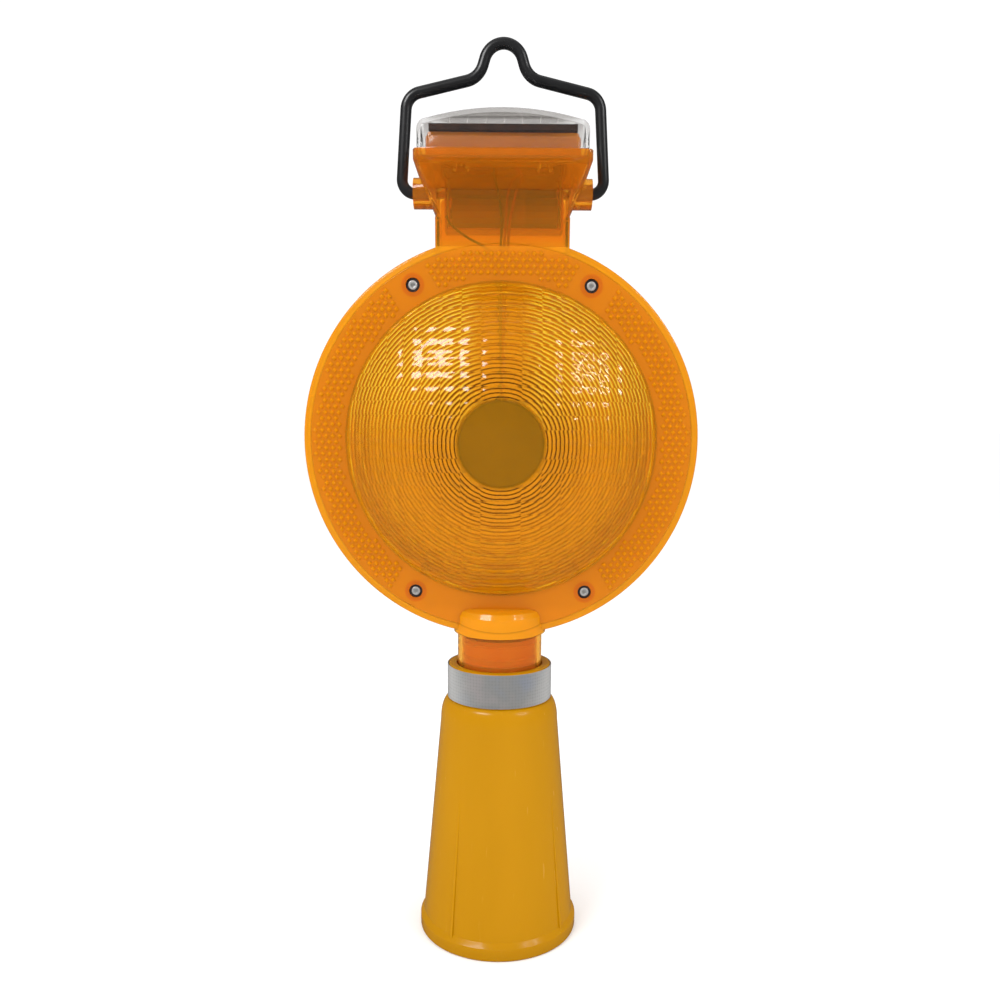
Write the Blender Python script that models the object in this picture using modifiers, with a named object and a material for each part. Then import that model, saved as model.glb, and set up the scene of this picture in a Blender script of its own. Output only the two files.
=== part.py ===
"""Solar warning light that plugs into the top of a traffic cone.

A round amber lamp head with a lens on each side stands on a clear tube.
The tube drops into a hollow cone adapter, and a wire bail swings over the
solar panel on top.  Metres, +Z up, lens faces along -Y and +Y.  The origin
is the centre of the adapter's foot.
"""

import math

import bmesh
import bpy
from mathutils import Matrix, Vector

# Clearances
GAP = 0.0003
THROUGH = 0.02

# Cone adapter
FOOT_RADIUS = 0.0415
FOOT_BEAD_HEIGHT = 0.0072
SKIRT_TOP_Z = 0.115
SKIRT_BOTTOM_RADIUS = 0.0396
SKIRT_TOP_RADIUS = 0.0302
SKIRT_WALL = 0.0024
COLLAR_RADIUS = 0.026
COLLAR_TOP_Z = 0.1446
SHOULDER_HEIGHT = 0.0116
LEDGE_Z = 0.116
LEDGE_RADIUS = 0.0186
RIB_TOP_Z = 0.078
RIB_WIDTH = 0.0015
FIRST_RIB_AZIMUTH = math.radians(-36)

# Mount tube
TUBE_RADIUS = 0.0214
TUBE_WALL = 0.0022
TUBE_TOP_Z = 0.1704
GROOVE_Z = 0.1640
GROOVE_HEIGHT = 0.0030
GROOVE_RADIUS = 0.0199
CROSS_HOLE_Z = 0.1530
CROSS_HOLE_RADIUS = 0.0015

# Lamp head
HEAD_Z = 0.256
HEAD_RADIUS = 0.095
RIM_HALF = 0.0104
RING_PLANE = 0.0120
DOME_RADIUS = 0.0735
DOME_SPHERE = 0.1124
DOME_CENTRE = 0.0711
WINDOW_RADIUS = 0.0203
LENS_WALL = 0.0022
SEAM_HALF = 0.00075
PAST_SEAM = -0.0010
SCREW_X = 0.0417
SCREW_Z = 0.0726
SOCKET_TOP_Z = 0.1745
SOCKET_RADIUS = 0.0233

# Neck and solar hopper
NECK_HALF_X = 0.0313
NECK_HALF_Y = 0.0106
NECK_WALL = 0.0014
NECK_TOP_Z = 0.3590
PLATE_HALF_X = 0.0299
PLATE_TOP_Z = 0.3710
HOPPER_HALF_X = 0.0393
HOPPER_HALF_Y = 0.0345
HOPPER_TOP_Z = 0.3825
HOPPER_WALL = 0.0020
FLARE_Z = 0.3610
LEDGE_LOW_Z = 0.3788
LEDGE_TOP_Z = 0.3800
POST_X = 0.0185
POST_Y = 0.0240
LUG_Z = 0.3764
SCREW_TIP_Z = 0.3780

# Solar top
TRAY_HALF_X = 0.0340
TRAY_HALF_Y = 0.0300
TRAY_LOW_Z = 0.3803
TRAY_STEP_Z = 0.3886
TRAY_STEP = 0.0008
TRAY_TOP_Z = 0.3902
TRAY_WALL = 0.0016
TRAY_SCREW_Z = 0.3862
TRAY_POST_RADIUS = 0.0046
TRAY_WELL_RADIUS = 0.0036
PANEL_HALF_X = 0.0323
PANEL_HALF_Y = 0.0310
PANEL_THICKNESS = 0.0025
COVER_HALF_X = 0.0375
COVER_HALF_Y = 0.0332
COVER_SIDE_Z = 0.3898
COVER_TOP_Z = 0.3992
COVER_WALL = 0.0016
COVER_CORNER = 0.0042

# Bail
PIVOT_Z = 0.3713
BAIL_ROD = 0.0026
EAR_RADIUS = 0.0069
EAR_START_X = 0.0325
EAR_END_X = 0.0418
BAIL_PIN_X = 0.0328
BAIL_LEG_X = 0.04764
BAIL_CORNER = (0.04466, 0.41399)
BAIL_VALLEY = (0.0112, 0.4217)
BAIL_LOOP_Z = 0.4274
BAIL_LOOP_RADIUS = 0.0090
BAIL_LOOP_START = math.radians(17)

# Power pack and lamp
CELL_RADIUS = 0.0071
CELL_LENGTH = 0.0505
CELL_Y = 0.0008
CELL_START_X = -0.0247
LOWER_CELL_Z = 0.3623
UPPER_CELL_Z = 0.3769
HOLDER_X = (-0.0270, 0.0282)
HOLDER_TOP_Z = 0.3842
DRUM_RADIUS = 0.0196
DRUM_END = 0.0368
LED_GAP = 0.0034
LED_COUNT = 8
BOARD_RADIUS = 0.0150
WIRE_RADIUS = 0.00065

# Switch, on the rear slope of the hopper
SLOPE_BOTTOM = Vector((0, NECK_HALF_Y, 0.3715))
SLOPE_TOP = Vector((0, 0.0343, 0.3785))
SWITCH_BARREL = 0.0040

# Points that each inner wire runs through
WIRE_ROUTES = {
    "solar_wire_red": (
        (0.0095, -0.0100, 0.3902), (0.0092, -0.0104, 0.3840), (0.0074, -0.0084, 0.3750),
        (0.0048, -0.0079, 0.3650), (0.0031, -0.0078, 0.3560), (0.0027, -0.0068, 0.3470),
        (0.0026, -0.0045, 0.3360), (0.0026, -0.0015, 0.3150), (0.0025, 0, 0.2950), (0.0025, 0, 0.2716),
    ),
    "solar_wire_black": (
        (-0.0050, -0.0100, 0.3902), (-0.0050, -0.0104, 0.3840), (-0.0031, -0.0084, 0.3750),
        (-0.0012, -0.0079, 0.3650), (-0.0004, -0.0078, 0.3560), (-0.0008, -0.0068, 0.3470),
        (-0.0008, -0.0045, 0.3360), (-0.0008, -0.0015, 0.3150), (-0.0008, 0, 0.2950), (-0.0008, 0, 0.2716),
    ),
    "battery_wire_red": (
        (0.0262, -0.0050, 0.3852), (0.0200, -0.0056, 0.3862), (0.0120, -0.0070, 0.3852),
        (0.0052, -0.0079, 0.3790), (0.0022, -0.0079, 0.3680), (0.0014, -0.0078, 0.3560),
        (0.0009, -0.0068, 0.3470), (0.0009, -0.0045, 0.3360), (0.0009, -0.0015, 0.3150),
        (0.0009, 0, 0.2950), (0.0009, 0, 0.2716),
    ),
    "battery_wire_black": (
        (-0.0262, -0.0074, 0.3600), (-0.0240, -0.0078, 0.3562), (-0.0195, -0.0079, 0.3524),
        (-0.0140, -0.0077, 0.3490), (-0.0085, -0.0070, 0.3464), (-0.0045, -0.0058, 0.3425),
        (-0.0028, -0.0045, 0.3360), (-0.0025, -0.0015, 0.3150), (-0.0025, 0, 0.2950), (-0.0025, 0, 0.2716),
    ),
}


def clear_scene():
    for item in list(bpy.data.objects):
        bpy.data.objects.remove(item)


def collection(name, hidden=False):
    group = bpy.data.collections.new(name)
    bpy.context.scene.collection.children.link(group)
    group.hide_render = hidden
    return group


clear_scene()
PARTS = collection("solar_cone_light")
CUTTERS = collection("cutters", hidden=True)


def material(name, colour, roughness, metallic=0.0, transmission=0.0):
    made = bpy.data.materials.new(name)
    made.use_nodes = True
    shader = made.node_tree.nodes["Principled BSDF"]
    shader.inputs["Base Color"].default_value = (*colour, 1)
    shader.inputs["Roughness"].default_value = roughness
    shader.inputs["Metallic"].default_value = metallic
    shader.inputs["Transmission Weight"].default_value = transmission
    return made


YELLOW = material("adapter_yellow", (0.80, 0.38, 0.01), 0.30)
REFLECTIVE = material("reflective_grey", (0.42, 0.43, 0.44), 0.35)
AMBER = material("amber_lens", (0.90, 0.30, 0.01), 0.12, transmission=0.8)
ORANGE = material("orange_housing", (0.85, 0.20, 0.01), 0.18, transmission=0.7)
CLEAR = material("clear_cover", (0.90, 0.92, 0.92), 0.06, transmission=0.9)
BLACK = material("black_coating", (0.012, 0.012, 0.014), 0.38)
STEEL = material("bright_steel", (0.62, 0.62, 0.60), 0.28, metallic=1.0)
RUBBER = material("black_rubber", (0.02, 0.02, 0.02), 0.70)
SILICON = material("solar_cells", (0.01, 0.015, 0.05), 0.20)
BROWN = material("lamp_drum_brown", (0.30, 0.18, 0.08), 0.50)
GREEN = material("circuit_board", (0.02, 0.16, 0.06), 0.45)
LED_AMBER = material("led_amber", (0.95, 0.55, 0.05), 0.15, transmission=0.6)
CELL_SLEEVE = material("cell_sleeve", (0.08, 0.24, 0.10), 0.40)
RED_WIRE = material("red_wire", (0.60, 0.02, 0.01), 0.45)
BLACK_WIRE = material("black_wire", (0.015, 0.015, 0.015), 0.45)


def add_object(name, mesh, surface=None, cutter=False):
    """Links a mesh as a part, or as a hidden cutter."""
    made = bpy.data.objects.new(name, mesh)
    (CUTTERS if cutter else PARTS).objects.link(made)
    if cutter:
        made.hide_render = True
        made.display_type = "WIRE"
    elif surface:
        mesh.materials.append(surface)
    return made


def from_bmesh(name, shape, surface=None, cutter=False):
    shape.normal_update()
    bmesh.ops.recalc_face_normals(shape, faces=shape.faces)
    mesh = bpy.data.meshes.new(name)
    shape.to_mesh(mesh)
    shape.free()
    return add_object(name, mesh, surface, cutter)


def smooth(item):
    item.data.shade_smooth()
    item.data.set_sharp_from_angle(angle=math.radians(35))
    return item


def box(name, low, high, surface=None, cutter=False):
    """A box between two opposite corners."""
    low, high = Vector(low), Vector(high)
    shape = bmesh.new()
    bmesh.ops.create_cube(shape, size=1)
    bmesh.ops.scale(shape, vec=high - low, verts=shape.verts)
    bmesh.ops.translate(shape, vec=(low + high) / 2, verts=shape.verts)
    return from_bmesh(name, shape, surface, cutter)


def along(axis):
    """Rotation that turns +Z onto the given axis."""
    return Vector((0, 0, 1)).rotation_difference(Vector(axis)).to_matrix().to_4x4()


def cylinder(name, start, axis, radius, length, surface=None, cutter=False, sides=12):
    """A cylinder that begins at start and runs its length along axis."""
    shape = bmesh.new()
    bmesh.ops.create_cone(
        shape, cap_ends=True, segments=sides, radius1=radius, radius2=radius, depth=length
    )
    place = Matrix.Translation(start) @ along(axis) @ Matrix.Translation((0, 0, length / 2))
    shape.transform(place)
    return from_bmesh(name, shape, surface, cutter)


def turned(name, profile, place=None, steps=40, surface=None, cutter=False, ring=True):
    """Turns a profile of (radius, height) about Z.  A ring's profile closes on itself."""
    mesh = bpy.data.meshes.new(name)
    points = [(radius, 0, height) for radius, height in profile]
    edges = [(i, i + 1) for i in range(len(points) - 1)]
    if ring:
        edges.append((len(points) - 1, 0))
    mesh.from_pydata(points, edges, [])
    made = add_object(name, mesh, surface, cutter)
    made.matrix_world = place or Matrix()
    screw = made.modifiers.new("turn", "SCREW")
    screw.steps = steps
    screw.render_steps = steps
    screw.use_merge_vertices = True
    screw.merge_threshold = 0.00001
    return made


def outline_prism(name, outline, thickness, place, surface=None, cutter=False):
    """A flat outline in XY, filled and given a thickness along Z, then placed."""
    curve = bpy.data.curves.new(name, "CURVE")
    curve.dimensions = "2D"
    curve.fill_mode = "BOTH"
    curve.extrude = thickness / 2
    spline = curve.splines.new("POLY")
    spline.points.add(len(outline) - 1)
    for point, (x, y) in zip(spline.points, outline):
        point.co = (x, y, 0, 1)
    spline.use_cyclic_u = True
    guide = bpy.data.objects.new(name, curve)
    guide.matrix_world = place
    return solid_from_curve(guide, surface, cutter)


def solid_from_curve(guide, surface=None, cutter=False):
    """Makes the mesh of a curve object, welds its caps and removes the curve."""
    bpy.context.scene.collection.objects.link(guide)
    graph = bpy.context.evaluated_depsgraph_get()
    mesh = bpy.data.meshes.new_from_object(guide.evaluated_get(graph))
    name, place = guide.name, guide.matrix_world.copy()
    bpy.data.objects.remove(guide)
    shape = bmesh.new()
    shape.from_mesh(mesh)
    bpy.data.meshes.remove(mesh)
    bmesh.ops.remove_doubles(shape, verts=shape.verts, dist=0.00001)
    shape.transform(place)
    return from_bmesh(name, shape, surface, cutter)


def rod(name, points, radius, surface, detail=2):
    """A round rod or wire through a list of points."""
    curve = bpy.data.curves.new(name, "CURVE")
    curve.dimensions = "3D"
    curve.bevel_depth = radius
    curve.bevel_resolution = detail
    curve.use_fill_caps = True
    spline = curve.splines.new("POLY")
    spline.points.add(len(points) - 1)
    for point, place in zip(spline.points, points):
        point.co = (*place, 1)
    return smooth(solid_from_curve(bpy.data.objects.new(name, curve), surface))


def combine(item, other, operation):
    change = item.modifiers.new(operation.lower(), "BOOLEAN")
    change.operation = operation
    change.solver = "EXACT"
    change.object = other
    return item


def cut(item, other):
    return combine(item, other, "DIFFERENCE")


def join(item, other):
    return combine(item, other, "UNION")


def bevel(item, width, segments=2):
    edge = item.modifiers.new("rounded_edges", "BEVEL")
    edge.width = width
    edge.segments = segments
    edge.limit_method = "ANGLE"
    edge.angle_limit = math.radians(50)
    return item


def arc(centre, radius, start, end, count):
    """Points on an arc, angles in radians, both ends included."""
    return [
        (
            centre[0] + radius * math.cos(start + (end - start) * i / count),
            centre[1] + radius * math.sin(start + (end - start) * i / count),
        )
        for i in range(count + 1)
    ]


def fillet(before, corner, after, radius, count=4):
    """Points of the arc that rounds a corner between two straight runs."""
    before, corner, after = Vector(before), Vector(corner), Vector(after)
    back = (before - corner).normalized()
    ahead = (after - corner).normalized()
    half = back.angle(ahead) / 2
    centre = corner + (back + ahead).normalized() * radius / math.sin(half)
    first = corner + back * radius / math.tan(half) - centre
    last = corner + ahead * radius / math.tan(half) - centre
    start = math.atan2(first.y, first.x)
    sweep = (math.atan2(last.y, last.x) - start + math.pi) % (2 * math.pi) - math.pi
    return arc(centre, radius, start, start + sweep, count)


def rounded_rectangle(half_x, half_y, radius, count=2):
    points = []
    for corner, (sign_x, sign_y) in enumerate(((1, 1), (-1, 1), (-1, -1), (1, -1))):
        centre = (sign_x * (half_x - radius), sign_y * (half_y - radius))
        start = corner * math.pi / 2
        points += arc(centre, radius, start, start + math.pi / 2, count)
    return points


def smooth_path(points, per_span=5):
    """Catmull-Rom curve through the route's own points."""
    route = [Vector(p) for p in points]
    route = [2 * route[0] - route[1], *route, 2 * route[-1] - route[-2]]
    made = []
    for a, b, c, d in zip(route, route[1:], route[2:], route[3:]):
        for step in range(per_span):
            t = step / per_span
            made.append(
                (
                    2 * b
                    + (c - a) * t
                    + (2 * a - 5 * b + 4 * c - d) * t**2
                    + (3 * b - a - 3 * c + d) * t**3
                )
                / 2
            )
    return [tuple(p) for p in [*made, route[-2]]]


def facing(front):
    """Frame of one lens shell: local +Z points out of that side of the head."""
    turn = Matrix.Rotation(math.radians(0 if front else 180), 4, "Z")
    tip = Matrix.Rotation(math.radians(90), 4, "X")
    return Matrix.Translation((0, 0, HEAD_Z)) @ turn @ tip


def skirt_radius(z):
    """Outer radius of the adapter's tapered wall at a height."""
    fall = (z - 0.009) / (SKIRT_TOP_Z - 0.009)
    return SKIRT_BOTTOM_RADIUS + (SKIRT_TOP_RADIUS - SKIRT_BOTTOM_RADIUS) * fall


def cone_adapter():
    bore = TUBE_RADIUS + 0.0004
    shoulder = [
        (
            COLLAR_RADIUS + (SKIRT_TOP_RADIUS - COLLAR_RADIUS) * math.cos(turn),
            SKIRT_TOP_Z + SHOULDER_HEIGHT * math.sin(turn),
        )
        for turn in (math.radians(a) for a in (85, 60, 35, 15, 0))
    ]
    profile = [
        (bore + 0.0006, COLLAR_TOP_Z),
        (COLLAR_RADIUS - 0.0006, COLLAR_TOP_Z),
        (COLLAR_RADIUS, COLLAR_TOP_Z - 0.0006),
        (COLLAR_RADIUS, SKIRT_TOP_Z + SHOULDER_HEIGHT + 0.0002),
        *shoulder,
        (skirt_radius(0.009), 0.009),
        (FOOT_RADIUS, FOOT_BEAD_HEIGHT),
        (FOOT_RADIUS, 0.0010),
        (FOOT_RADIUS - 0.0008, 0),
        (FOOT_RADIUS - 0.0044, 0),
        (skirt_radius(0.009) - SKIRT_WALL, 0.009),
        (SKIRT_TOP_RADIUS - SKIRT_WALL, LEDGE_Z - 0.003),
        (LEDGE_RADIUS, LEDGE_Z - 0.003),
        (LEDGE_RADIUS, LEDGE_Z),
        (bore, LEDGE_Z),
        (bore, COLLAR_TOP_Z - 0.0006),
    ]
    adapter = turned("cone_adapter", profile, steps=36, surface=YELLOW)
    fin = [
        (skirt_radius(0.004) - 0.0012, 0.004),
        (FOOT_RADIUS - 0.0005, 0.004),
        (FOOT_RADIUS - 0.0008, 0.009),
        (skirt_radius(RIB_TOP_Z) + 0.0001, RIB_TOP_Z),
        (skirt_radius(RIB_TOP_Z) - 0.0012, RIB_TOP_Z),
    ]
    for index in range(4):
        azimuth = FIRST_RIB_AZIMUTH + index * math.pi / 2 - math.pi / 2
        place = Matrix.Rotation(azimuth, 4, "Z") @ Matrix.Rotation(math.pi / 2, 4, "X")
        rib = outline_prism(f"rib_{index}", fin, RIB_WIDTH, place, cutter=True)
        join(adapter, rib)
    return adapter


def reflective_band():
    inner = COLLAR_RADIUS + GAP
    low, high = SKIRT_TOP_Z + SHOULDER_HEIGHT + 0.0006, COLLAR_TOP_Z - 0.0004
    profile = [(inner, high), (inner + 0.0004, high), (inner + 0.0004, low), (inner, low)]
    turned("reflective_band", profile, surface=REFLECTIVE)


def mount_tube():
    inner = TUBE_RADIUS - TUBE_WALL
    top_inner = GROOVE_RADIUS - 0.0013
    bottom = LEDGE_Z + GAP
    profile = [
        (top_inner, TUBE_TOP_Z),
        (TUBE_RADIUS - 0.0004, TUBE_TOP_Z),
        (TUBE_RADIUS, TUBE_TOP_Z - 0.0004),
        (TUBE_RADIUS, GROOVE_Z + GROOVE_HEIGHT),
        (GROOVE_RADIUS, GROOVE_Z + GROOVE_HEIGHT),
        (GROOVE_RADIUS, GROOVE_Z),
        (TUBE_RADIUS, GROOVE_Z),
        (TUBE_RADIUS, bottom + 0.0006),
        (TUBE_RADIUS - 0.0006, bottom),
        (inner, bottom),
        (inner, GROOVE_Z - 0.004),
        (top_inner, GROOVE_Z - 0.003),
    ]
    tube = turned("mount_tube", profile, steps=28, surface=ORANGE)
    pin_hole = cylinder(
        "pin_hole",
        (-TUBE_RADIUS - THROUGH, 0, CROSS_HOLE_Z),
        (1, 0, 0),
        CROSS_HOLE_RADIUS,
        2 * (TUBE_RADIUS + THROUGH),
        cutter=True,
    )
    cut(tube, pin_hole)


def tube_liner():
    """Ribbed sleeve inside the tube; its beads touch the tube's bore."""
    bead_radius = TUBE_RADIUS - TUBE_WALL - GAP
    wall_radius = bead_radius - 0.0005
    low, high = LEDGE_Z + 0.0024, 0.1590
    outer = [(wall_radius, high)]
    for bead_z in (0.1565, 0.1497, 0.1463):
        outer += [(wall_radius, bead_z + 0.0008), (bead_radius, bead_z), (wall_radius, bead_z - 0.0008)]
    outer.append((wall_radius, low))
    inner = [(wall_radius - 0.0014, low), (wall_radius - 0.0014, high)]
    liner = turned("tube_liner", [*outer, *inner], steps=24, surface=ORANGE)
    pin_path = cylinder(
        "liner_pin_hole",
        (-TUBE_RADIUS, 0, CROSS_HOLE_Z),
        (1, 0, 0),
        CROSS_HOLE_RADIUS,
        2 * TUBE_RADIUS,
        cutter=True,
    )
    cut(liner, pin_path)


def lens_profile():
    """Half section of one shell, from the window's middle out to the rim and back."""

    def dome(radius, sphere):
        return math.sqrt(sphere**2 - radius**2) - DOME_CENTRE

    inner_sphere = DOME_SPHERE - LENS_WALL
    rings = 5
    span = DOME_RADIUS - WINDOW_RADIUS
    outer = [WINDOW_RADIUS + span * i / rings for i in range(rings + 1)]
    ring_start, ring_end = DOME_RADIUS - 0.0014, WINDOW_RADIUS + 0.0013
    inner = [ring_start + (ring_end - ring_start) * i / rings for i in range(rings + 1)]
    window = dome(WINDOW_RADIUS, DOME_SPHERE)
    window_inner = window - LENS_WALL - 0.0001
    return [
        (0, window),
        *[(r, dome(r, DOME_SPHERE)) for r in outer],
        (DOME_RADIUS + 0.0015, RING_PLANE),
        (HEAD_RADIUS - 0.0040, RING_PLANE),
        (HEAD_RADIUS - 0.0034, RIM_HALF + 0.0004),
        (HEAD_RADIUS - 0.0010, RIM_HALF),
        (HEAD_RADIUS, RIM_HALF - 0.0010),
        (HEAD_RADIUS, PAST_SEAM),
        (HEAD_RADIUS - LENS_WALL, PAST_SEAM),
        (HEAD_RADIUS - LENS_WALL, RIM_HALF - 0.0014),
        (HEAD_RADIUS - LENS_WALL - 0.0008, RING_PLANE - LENS_WALL),
        (DOME_RADIUS + 0.0012, RING_PLANE - LENS_WALL),
        *[(r, dome(r, inner_sphere)) for r in inner],
        (ring_end, window_inner - 0.0026),
        (DRUM_RADIUS + 0.0004, window_inner - 0.0026),
        (DRUM_RADIUS + 0.0004, window_inner),
        (0, window_inner),
    ]


def lens_shell(name, front):
    """One half of the head: lens, rim, neck plate, screw bosses and tube socket."""
    side = -1 if front else 1
    outward = Vector((0, side, 0))
    shell = turned(name, lens_profile(), facing(front), surface=AMBER, ring=False)

    def across(label, half_x, depth_low, depth_high, z_low, z_high):
        depths = sorted((side * depth_low, side * depth_high))
        low, high = (-half_x, depths[0], z_low), (half_x, depths[1], z_high)
        return box(f"{name}_{label}", low, high, cutter=True)

    neck_foot = HEAD_Z + 0.0800
    join(shell, across("neck", NECK_HALF_X, PAST_SEAM, NECK_HALF_Y, neck_foot, NECK_TOP_Z))
    top, low, round_off = PLATE_TOP_Z, NECK_TOP_Z - 0.006, 0.0028
    outline = [
        (-PLATE_HALF_X, low),
        (PLATE_HALF_X, low),
        *arc((PLATE_HALF_X - round_off, top - round_off), round_off, 0, math.pi / 2, 4),
        *arc((round_off - PLATE_HALF_X, top - round_off), round_off, math.pi / 2, math.pi, 4),
    ]
    middle = side * (NECK_HALF_Y - NECK_WALL / 2)
    place = Matrix.Translation((0, middle, 0)) @ Matrix.Rotation(math.pi / 2, 4, "X")
    join(shell, outline_prism(f"{name}_plate", outline, NECK_WALL, place, cutter=True))
    for corner, x, z in screw_places():
        boss = cylinder(
            f"{name}_boss_{corner}",
            Vector((x, side * PAST_SEAM, z)),
            outward,
            0.0050,
            RING_PLANE - 0.0010 - PAST_SEAM,
            cutter=True,
        )
        join(shell, boss)
    socket_outline = [
        (0, SOCKET_TOP_Z),
        (SOCKET_RADIUS - 0.0040, SOCKET_TOP_Z),
        (SOCKET_RADIUS - 0.0013, SOCKET_TOP_Z - 0.0011),
        (SOCKET_RADIUS, SOCKET_TOP_Z - 0.0036),
        (SOCKET_RADIUS, HEAD_Z - HEAD_RADIUS + 0.0004),
        (0, HEAD_Z - HEAD_RADIUS + 0.0004),
    ]
    join(shell, turned(f"{name}_socket", socket_outline, steps=28, cutter=True, ring=False))

    cavity_half = NECK_HALF_X - HOPPER_WALL
    inner_depth = NECK_HALF_Y - NECK_WALL
    cut(shell, across("cavity", cavity_half, -0.003, inner_depth, HEAD_Z + 0.0745, NECK_TOP_Z + 0.001))
    bore, lip = TUBE_RADIUS + GAP, GROOVE_RADIUS + GAP
    lip_low, lip_high = GROOVE_Z + GAP, GROOVE_Z + GROOVE_HEIGHT - GAP
    bore_outline = [
        (0, TUBE_TOP_Z + 0.0006),
        (bore, TUBE_TOP_Z + 0.0006),
        (bore, lip_high),
        (lip, lip_high),
        (lip, lip_low),
        (bore, lip_low),
        (bore, HEAD_Z - HEAD_RADIUS - THROUGH),
        (0, HEAD_Z - HEAD_RADIUS - THROUGH),
    ]
    cut(shell, turned(f"{name}_tube_bore", bore_outline, steps=28, cutter=True, ring=False))
    far_half = across("far_half", 0.2, -0.2, SEAM_HALF, 0, 0.5)
    cut(shell, far_half)
    for corner, x, z in screw_places():
        start = Vector((x, side * -0.002, z))
        hole = cylinder(f"{name}_hole_{corner}", start, outward, 0.0018, THROUGH, cutter=True)
        cut(shell, hole)
        seat = Vector((x, side * (RING_PLANE - 0.0028), z))
        sides, radius = (16, 0.0033) if front else (6, 0.0036)
        pocket = cylinder(
            f"{name}_pocket_{corner}", seat, outward, radius, THROUGH, cutter=True, sides=sides
        )
        cut(shell, pocket)
    return shell


def screw_places():
    """The four lens screws as (corner name, x, z)."""
    return [
        (f"{row}_{column}", x, HEAD_Z + z)
        for row, z in (("lower", -SCREW_Z), ("upper", SCREW_Z))
        for column, x in (("left", -SCREW_X), ("right", SCREW_X))
    ]


def lens_gasket(name, side):
    """One half of the seal in the seam, open at the neck and at the tube socket."""
    half = SEAM_HALF - GAP
    inner, outer = HEAD_RADIUS - LENS_WALL + 0.0002, HEAD_RADIUS - 0.0004
    place = Matrix.Translation((0, 0, HEAD_Z)) @ Matrix.Rotation(math.pi / 2, 4, "X")
    profile = [(inner, half), (outer, half), (outer, -half), (inner, -half)]
    seal = turned(name, profile, place, surface=RUBBER)
    throat, far = NECK_HALF_X - 0.0018, 0.2
    strip_low, strip_high = HEAD_Z + 0.0895, NECK_TOP_Z - 0.0004
    edges = sorted((side * throat, side * (throat + 0.0014)))
    low, high = (edges[0], -half, strip_low), (edges[1], half, strip_high)
    join(seal, box(f"{name}_strip", low, high, cutter=True))
    for label, reach, z_low, z_high in (
        ("throat", throat, HEAD_Z, HEAD_Z + far),
        ("socket", SOCKET_RADIUS, HEAD_Z - far, HEAD_Z + 0.001),
    ):
        edges = sorted((side * reach, -side * far))
        low, high = (edges[0], -0.01, z_low), (edges[1], 0.01, z_high)
        cut(seal, box(f"{name}_{label}", low, high, cutter=True))


def lens_screws():
    head_seat = RING_PLANE - 0.0028 + GAP
    for corner, x, z in screw_places():
        place = Matrix.Translation((x, 0, z)) @ Matrix.Rotation(math.pi / 2, 4, "X")
        profile = [
            (0, head_seat + 0.0022),
            (0.0024, head_seat + 0.0022),
            (0.0028, head_seat + 0.0018),
            (0.0028, head_seat),
            (0.0015, head_seat),
            (0.0015, -RING_PLANE + 0.0006),
            (0, -RING_PLANE + 0.0006),
        ]
        name = f"lens_screw_{corner}"
        screw = turned(name, profile, place, steps=12, surface=STEEL, ring=False)
        start = Vector((x, -head_seat - 0.0008, z))
        key = cylinder(f"hex_key_{corner}", start, (0, -1, 0), 0.0015, 0.004, cutter=True, sides=6)
        cut(screw, key)


def lens_nuts():
    for corner, x, z in screw_places():
        start = Vector((x, RING_PLANE - 0.0028 + GAP, z))
        nut = cylinder(f"lens_nut_{corner}", start, (0, 1, 0), 0.0032, 0.0022, STEEL, sides=6)
        before = start - Vector((0, 0.01, 0))
        hole = cylinder(f"nut_hole_{corner}", before, (0, 1, 0), 0.0018, 0.03, cutter=True)
        cut(nut, hole)


def hopper_section(half_x, half_y, z, radius=0.0032):
    return [Vector((x, y, z)) for x, y in rounded_rectangle(half_x, half_y, radius)]


def loft(name, sections, surface=None, cutter=False):
    """A closed solid through a stack of rounded rectangles."""
    shape = bmesh.new()
    rings = [[shape.verts.new(p) for p in section] for section in sections]
    count = len(rings[0])
    for lower, upper in zip(rings, rings[1:]):
        for i in range(count):
            j = (i + 1) % count
            shape.faces.new((lower[i], lower[j], upper[j], upper[i]))
    shape.faces.new(reversed(rings[0]))
    shape.faces.new(rings[-1])
    return from_bmesh(name, shape, surface, cutter)


def hopper_side(z):
    """Half width of the hopper's flaring side at a height."""
    flare = (HOPPER_HALF_X - NECK_HALF_X) / (SLOPE_TOP.z - FLARE_Z)
    return NECK_HALF_X + flare * (z - FLARE_Z)


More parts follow.
